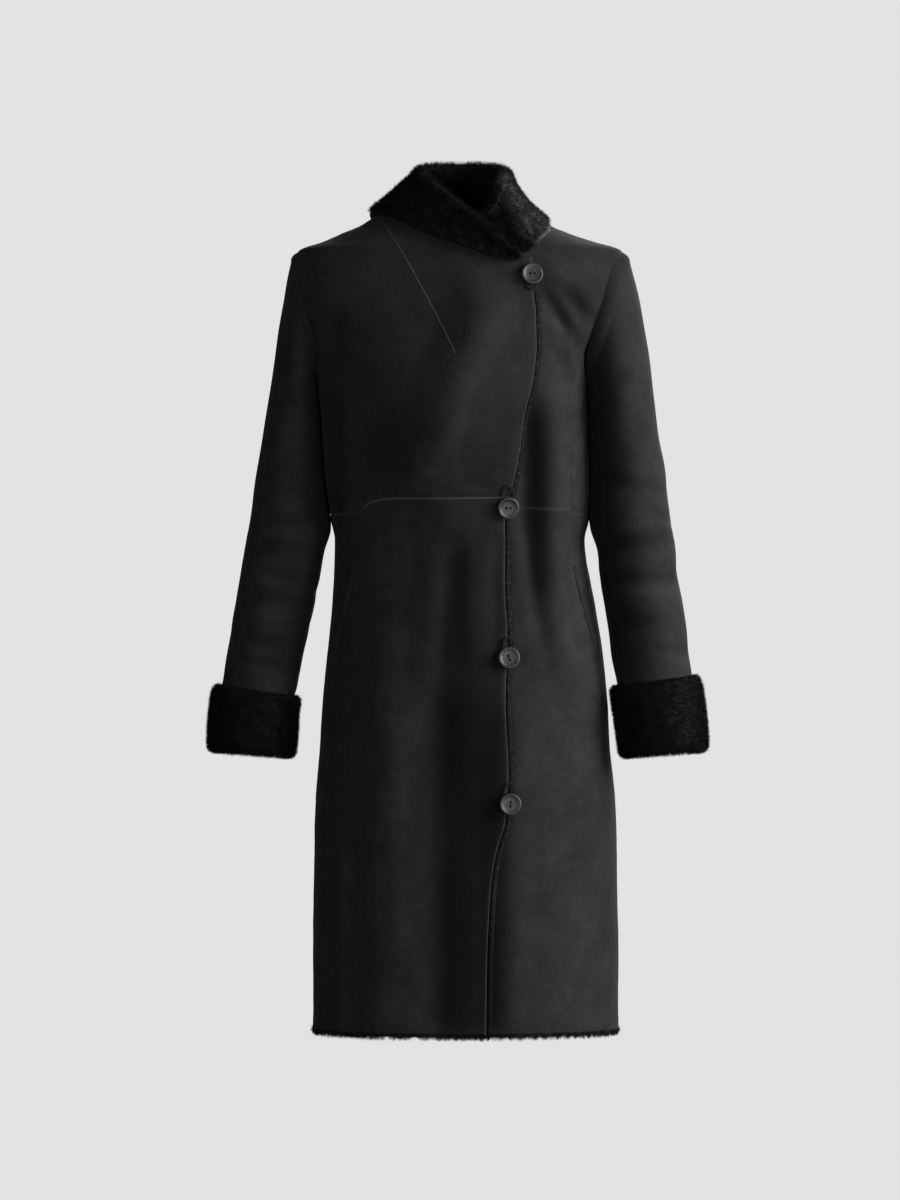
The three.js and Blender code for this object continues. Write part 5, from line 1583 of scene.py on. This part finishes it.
def strands(name, points, triangles, count, length, width, lean, out, seed, material=FUR, painted_shading_of=None,
            curl=0.38):
    """Bent, tapered hairs in one mesh. Lean is the way they lie, beside the normal; out is 1, or -1
    where the normals point inwards; curl is how far neighbours lie together in locks."""
    random = np.random.default_rng(seed)
    roots, normals = sampled(points, triangles, count, random)
    normals = normals * out
    along, up = roots[:, 0] + roots[:, 1], roots[:, 2]
    locks = np.stack([waves(seed + k, 9, 6, 22)(along, up) for k in (1, 2, 3)], axis=1)
    way = unit(normals + np.asarray(lean) + curl * locks + random.normal(0, HAIR_SPREAD, (count, 3)))
    size = length * random.uniform(*HAIR_SIZES, count)[:, None]
    turned = unit(random.normal(0, 1, (count, 3)))
    across = unit(np.cross(way, turned)) * width / 2
    bend = unit(way + HAIR_BEND * turned + np.asarray(lean) * HAIR_DROOP)
    base = roots - normals * HAIR_ROOT
    middle = base + way * size * LOWER_LENGTH
    tip = middle + bend * size * UPPER_LENGTH
    narrow = across * MIDDLE_WIDTH
    corners = np.stack([base - across, base + across, middle + narrow, middle - narrow, tip], axis=1)
    first = np.arange(count)[:, None] * HAIR_CORNERS
    faces = (first[:, :, None] + np.array(HAIR_FACES)).reshape(-1, 3)
    # Each hair takes its root's painted light and shade
    values = {"nap": np.repeat(painted_shading_of(roots), HAIR_CORNERS)} if painted_shading_of else None
    return make_piece(name, corners.reshape(-1, 3), faces, [material], values=values)


def outward_way(points, triangles, middle):
    """1 if the triangles' normals point away from the middle, else -1."""
    a, b, c = (points[triangles[:, k]] for k in (0, 1, 2))
    away = np.sum(np.cross(b - a, c - a) * ((a + b + c) / 3 - middle))
    return 1 if away > 0 else -1


COLLAR_STRANDS = 60000
CUFF_STRANDS = 34000
HEM_STRANDS = 26000
EDGE_STRANDS = 16000

fur_columns = (COLLAR_FUR_POINTS - 1) * COLLAR_STEPS + 1
collar_face = collar_loops[:, :fur_columns].reshape(-1, 3)
collar_triangles = grid_triangles(len(collar_loops), fur_columns)
outer_half = fur_columns // 3
half_face = collar_loops[:, :outer_half].reshape(-1, 3)
COLLAR_MIDDLE = (4, 0, 0)
half_triangles = grid_triangles(len(collar_loops), outer_half)
collar_way = outward_way(half_face, half_triangles, np.array(COLLAR_MIDDLE))
# The hairs carry the lapel's painted highlight
collar_fur = strands(
    "collar_fur", collar_face, collar_triangles, COLLAR_STRANDS, length=6.5, width=0.55,
    lean=(0, 0, -0.35), out=collar_way, seed=41, painted_shading_of=collar_nap,
)

for side, word in SIDES:
    loops = cuff_loops[side]
    count = (CUFF_OUTER + 2) * CUFF_STEPS
    face = loops[:, :count].reshape(-1, 3)
    triangles = grid_triangles(len(loops), count, True)
    way = outward_way(face, triangles, face.mean(axis=0))
    strands(
        f"cuff_fur_{word}", face, triangles, CUFF_STRANDS, length=5.5, width=0.5,
        lean=(0, 0, -0.25), out=way, seed=50 + side, curl=0.1,
    )


def object_points(*names):
    """Places and triangles of the named pieces' meshes, in millimetres."""
    points, triangles, start = [], [], 0
    for name in names:
        mesh = pieces[name].data
        spots = np.empty(len(mesh.vertices) * 3, dtype=np.float32)
        mesh.vertices.foreach_get("co", spots)
        mesh.calc_loop_triangles()
        corners = np.empty(len(mesh.loop_triangles) * 3, dtype=np.int32)
        mesh.loop_triangles.foreach_get("vertices", corners)
        points.append(spots.reshape(-1, 3) / MM)
        triangles.append(corners.reshape(-1, 3) + start)
        start += len(mesh.vertices)
    return np.concatenate(points).astype(float), np.concatenate(triangles)


hem_names = ("hem_wool_front_right", "hem_wool_front_left", "hem_wool_back")
edge_names = ("front_edge_bodice", "front_edge_skirt")
hem_fur = strands(
    "hem_fur", *object_points(*hem_names), HEM_STRANDS, length=6.4, width=0.42,
    lean=(0, 0, -1.1), out=1, seed=61, material=EDGE_WOOL, curl=1.1,
)
# The hairs carry the closing strip's painted shade
edge_fur = strands(
    "edge_fur", *object_points(*edge_names), EDGE_STRANDS, length=2.6, width=0.45,
    lean=(0.25, 0, -0.2), out=1, seed=66, material=EDGE_WOOL, painted_shading_of=edge_nap, curl=0.5,
)


# Buttons and their braided loops

BUTTON_SIDES = 64
BUTTON_SEAT = LAP + 0.5
LOOP_LIFT = LAP + 2.2
LOOP_STEPS = 16
HOLE_OFF = 2.8
HOLE_RADIUS = 1.55
HOLE_SIDES = 16
HOLE_SPAN = (2.0, 9.0)
SHARP_ANGLE = 50
# A button's section: out from its middle, and up from its seat
BUTTON_PROFILE = (
    (3, SHANK_LENGTH), (9, SHANK_LENGTH), (11.8, 3.7), (13.2, 4.4), (BUTTON_RADIUS, 5.2), (13.7, 6.1),
    (13.1, 6.9), (12.2, 7.35), (11.3, 7.3), (10.4, 6.9), (9.4, 6.35), (8, 6.05), (5, 5.9),
)


def button_frame(across, height, turned):
    """The middle of a button's seat, its face's way, and two ways across it."""
    turn = turn_at(across, height, -1)
    seat = cloth(one(turn), one(height), one(BUTTON_SEAT))
    normal = surface_normal(one(turn), one(height))
    right = unit(np.cross(np.array([0, 0, 1.0]), normal))
    up = np.cross(normal, right)
    spin = math.cos(turned), math.sin(turned)
    return seat, normal, right * spin[0] + up * spin[1], up * spin[0] - right * spin[1]


def placed(frame_of, x, y, z):
    seat, normal, right, up = frame_of
    return seat + np.multiply.outer(x, right) + np.multiply.outer(y, up) + np.multiply.outer(z, normal)


def cylinder_cutter(frame_of, x):
    angle = np.linspace(0, 2 * math.pi, HOLE_SIDES, endpoint=False)
    rings = [placed(frame_of, x + HOLE_RADIUS * np.cos(angle), HOLE_RADIUS * np.sin(angle), z + 0 * angle)
             for z in HOLE_SPAN]
    return loops_piece("cutter", np.array(rings), False, [HORN])


def button_piece(name, frame_of):
    angle = np.linspace(0, 2 * math.pi, BUTTON_SIDES, endpoint=False)
    rings = [placed(frame_of, out * np.cos(angle), out * np.sin(angle), up + 0 * angle)
             for out, up in BUTTON_PROFILE]
    piece = loops_piece(name, np.array(rings), False, [HORN])
    for x in (-HOLE_OFF, HOLE_OFF):
        cutter = cylinder_cutter(frame_of, x)
        cut = piece.modifiers.new("hole", "BOOLEAN")
        cut.operation = "DIFFERENCE"
        cut.solver = "EXACT"
        cut.object = cutter
        shaped = bpy.data.meshes.new_from_object(piece.evaluated_get(bpy.context.evaluated_depsgraph_get()))
        piece.modifiers.clear()
        piece.data = shaped
        bpy.data.objects.remove(cutter)
    shaped.set_sharp_from_angle(angle=math.radians(SHARP_ANGLE))
    cover(name, piece)


def tube_points(path, radius, sides):
    """Closed loops round an open path, turned as little as may be."""
    tangents = unit(np.gradient(path, axis=0))
    side_way = unit(np.cross(tangents[0], np.array([0.3, 0.2, 1.0])))
    loops = []
    angle = np.linspace(0, 2 * math.pi, sides, endpoint=False)
    for spot, tangent in zip(path, tangents):
        side_way = unit(side_way - tangent * side_way.dot(tangent))
        other = np.cross(tangent, side_way)
        loops.append(spot + radius * (np.multiply.outer(np.cos(angle), side_way)
                                      + np.multiply.outer(np.sin(angle), other)))
    return np.array(loops)


def joined(name, parts):
    """One object out of several, under a new name."""
    with bpy.context.temp_override(active_object=parts[0], selected_editable_objects=parts):
        bpy.ops.object.join()
    parts[0].name = name
    parts[0].data.name = name
    return parts[0]


def open_spline(points, steps):
    padded = np.concatenate([points[:1], points, points[-1:]])
    rows = [catmull(padded[i], padded[i + 1], padded[i + 2], padded[i + 3], k / steps)
            for i in range(len(points) - 1) for k in range(steps)]
    return np.array(rows + [points[-1]])


BRAID_TURN = 5.2
BRAID_WIDE = 0.85
BRAID_DEEP = 0.5
PLY_RADIUS = 0.8
PLY_SIDES = 8


def braided(name, path):
    """Three plies crossing over each other along a path."""
    tangents = unit(np.gradient(path, axis=0))
    outward_face = surface_normal(one(turn_at(path[0][0], path[0][2], -1)), one(path[0][2]))
    wide = unit(np.cross(tangents, outward_face))
    deep = np.cross(wide, tangents)
    walked = np.concatenate([[0], np.cumsum(np.linalg.norm(np.diff(path, axis=0), axis=1))])
    plies = []
    for ply in range(3):
        phase = 2 * math.pi * (walked / BRAID_TURN + ply / 3)
        line = path + wide * (BRAID_WIDE * np.sin(phase))[:, None]
        line = line + deep * (BRAID_DEEP * np.sin(2 * phase))[:, None]
        tube = tube_points(line, PLY_RADIUS, PLY_SIDES)
        plies.append(loops_piece(f"{name}_ply_{ply}", tube, False, [CORD]))
    return joined(name, plies)


def loop_piece(name, across, height, reach):
    spots = []
    for off, rise in LOOP_ROWS:
        x, z = across + off, height + rise * reach
        spots.append(cloth(one(turn_at(x, z, -1)), one(z), one(LOOP_LIFT)))
    cover(name, braided(name, open_spline(np.array(spots), LOOP_STEPS)))


STITCH_RADIUS = 0.32
STITCH_SIDES = 6
STITCH_LEVEL = 5.75
STITCH_ARCH = 0.6
STITCH_STACK = 0.1
STITCH_OFFS = (-0.5, 0.0, 0.5)
SHANK_SIDES = 14
# The wound shank's section: out from its middle, and up from its seat
SHANK_ROWS = ((2.6, 0), (2.3, 0.7), (2.5, 1.3), (2.2, 2.0), (2.5, 2.7), (2.8, 3.35))


def thread_piece(name, frame_of, threaded):
    """The thread shank under a button, with turns of thread between its holes where they show."""
    parts = []
    for k, y in enumerate(STITCH_OFFS if threaded else ()):
        x = np.linspace(-HOLE_OFF, HOLE_OFF, 9)
        arch = STITCH_ARCH * np.sqrt(np.maximum(0, 1 - (x / HOLE_OFF) ** 2))
        path = placed(frame_of, x, y * np.cos(x) + 0 * x, STITCH_LEVEL + arch + STITCH_STACK * k)
        tube = tube_points(path, STITCH_RADIUS, STITCH_SIDES)
        parts.append(loops_piece(f"{name}_{k}", tube, False, [THREAD]))
    angle = np.linspace(0, 2 * math.pi, SHANK_SIDES, endpoint=False)
    rings = [placed(frame_of, r * np.cos(angle), r * np.sin(angle), z + 0 * angle) for r, z in SHANK_ROWS]
    parts.append(loops_piece(f"{name}_shank", np.array(rings), False, [THREAD]))
    return joined(name, parts)


for index, (across, height, turned, reach, threaded) in enumerate(BUTTON_ROWS, start=1):
    frame_of = button_frame(across, height, turned)
    button_piece(f"button_{index}", frame_of)
    loop_piece(f"loop_{index}", across, height, reach)
    thread_piece(f"thread_{index}", frame_of, threaded)


# A seam sewn through the front panel, as a pale raised line: the neck dart

DART_TOP = (-99, -3)
DART_END = (-6, -176)
LINE_WIDTH = 1.2
LINE_LIFT = 0.3
LINE_BASE = 0.05
LINE_SINK = 0.6
LINE_PALE = 0.55
LINE_STEPS = 60
LINE_SHARES = (-0.5, -0.25, 0, 0.25, 0.5)
LINE_CROWN = (0, 0.75, 1, 0.75, 0)


def sewn_line(name, ends, bow):
    """A narrow raised line on the right front, bowed sideways between its ends."""
    share = np.linspace(0, 1, LINE_STEPS)
    x = mix(ends[0][0], ends[1][0], share) + bow * 4 * share * (1 - share)
    z = mix(ends[0][1], ends[1][1], share)
    turn = np.array([turn_at(a, b, -1) for a, b in zip(x, z)])[:, None]
    off = np.array(LINE_SHARES) * LINE_WIDTH
    crown = np.array(LINE_CROWN) * LINE_LIFT
    spots = turn + off / girth(z)[:, None]
    levels = z[:, None] + 0 * off
    rise = lap_rise(spots, levels)
    outer = cloth(spots, levels, rise + LINE_BASE + crown + 0 * spots)
    inner = cloth(spots, levels, rise - LINE_SINK + 0 * spots)
    return wall_piece(name, outer, inner, [SUEDE], edge=LINE_PALE + 0 * spots)


dart = sewn_line("neck_dart", (DART_TOP, DART_END), bow=4)

# Camera, light and ground, in metres

CAMERA_AWAY = 9.0
VIEW_HEIGHT = 1.488
VIEW_MIDDLE = (-0.0124, -0.4774)
SENSOR = 36
CLIP_END = 60
FRONT_PLANE = -0.05


def add_camera():
    data = bpy.data.cameras.new("camera")
    data.sensor_fit = "VERTICAL"
    data.sensor_height = SENSOR
    data.lens = SENSOR * CAMERA_AWAY / VIEW_HEIGHT
    data.clip_end = CLIP_END
    camera = bpy.data.objects.new("camera", data)
    camera.location = (VIEW_MIDDLE[0], FRONT_PLANE - CAMERA_AWAY, VIEW_MIDDLE[1])
    camera.rotation_euler = (math.pi / 2, 0, 0)
    bpy.context.scene.collection.objects.link(camera)
    bpy.context.scene.camera = camera


def add_light(name, place, size, power):
    """A round area light that points at the coat's middle."""
    data = bpy.data.lights.new(name, "AREA")
    data.shape = "DISK"
    data.size = size
    data.energy = power
    light = bpy.data.objects.new(name, data)
    light.location = place
    way = np.array(MIDDLE, float) - np.array(place, float)
    flat = math.hypot(way[0], way[1])
    light.rotation_euler = (math.atan2(flat, -way[2]), 0, math.atan2(way[1], way[0]) - math.pi / 2)
    bpy.context.scene.collection.objects.link(light)


GROUND_HEIGHT = -1.55
FLOOR_START = 0.001
WALL_RADIUS = 13
WALL_HEIGHT = 12
BEND = 3
BEND_STEPS = 12
GROUND_SIDES = 64
GROUND_GREY = 0.008
GROUND_GLOW = 0.765
WORLD_LIGHT = 0.05
MIDDLE = (0, 0, -0.45)
# Columns: name, place, size, power
LIGHT_ROWS = (
    ("key", (4.34, -1.41, 1.04), 3.0, 320),
    ("side", (2.4, -3.6, -0.9), 2.0, 55),
    ("fill", (-1.86, -3.95, 0.2), 2.0, 44),
    ("back", (1.5, 3.6, 1.6), 2.4, 110),
)


def add_ground():
    """A pale round floor that bends up into a wall all round."""
    line = [(FLOOR_START, GROUND_HEIGHT)]
    for k in range(BEND_STEPS + 1):
        angle = math.pi / 2 * k / BEND_STEPS
        rise = BEND * (1 - math.cos(angle))
        line.append((WALL_RADIUS - BEND + BEND * math.sin(angle), GROUND_HEIGHT + rise))
    line.append((WALL_RADIUS, WALL_HEIGHT))
    angles = np.linspace(0, 2 * math.pi, GROUND_SIDES + 1)
    grid = np.array([[(r * math.cos(a), r * math.sin(a), z) for a in angles] for r, z in line])
    faces = grid_faces(len(line), len(angles))
    material = ground_material("ground", GROUND_GREY, GROUND_GLOW)
    floor = make_piece("ground", grid.reshape(-1, 3) / MM, faces, [material])
    floor.visible_diffuse = False
    floor.visible_glossy = False


def add_world():
    world = bpy.data.worlds.new("studio")
    bpy.context.scene.world = world
    world.use_nodes = True
    background = world.node_tree.nodes["Background"]
    background.inputs["Color"].default_value = (1, 1, 1, 1)
    background.inputs["Strength"].default_value = WORLD_LIGHT


add_camera()
add_ground()
for light_row in LIGHT_ROWS:
    add_light(*light_row)
add_world()
bpy.context.scene.view_settings.view_transform = "Standard"
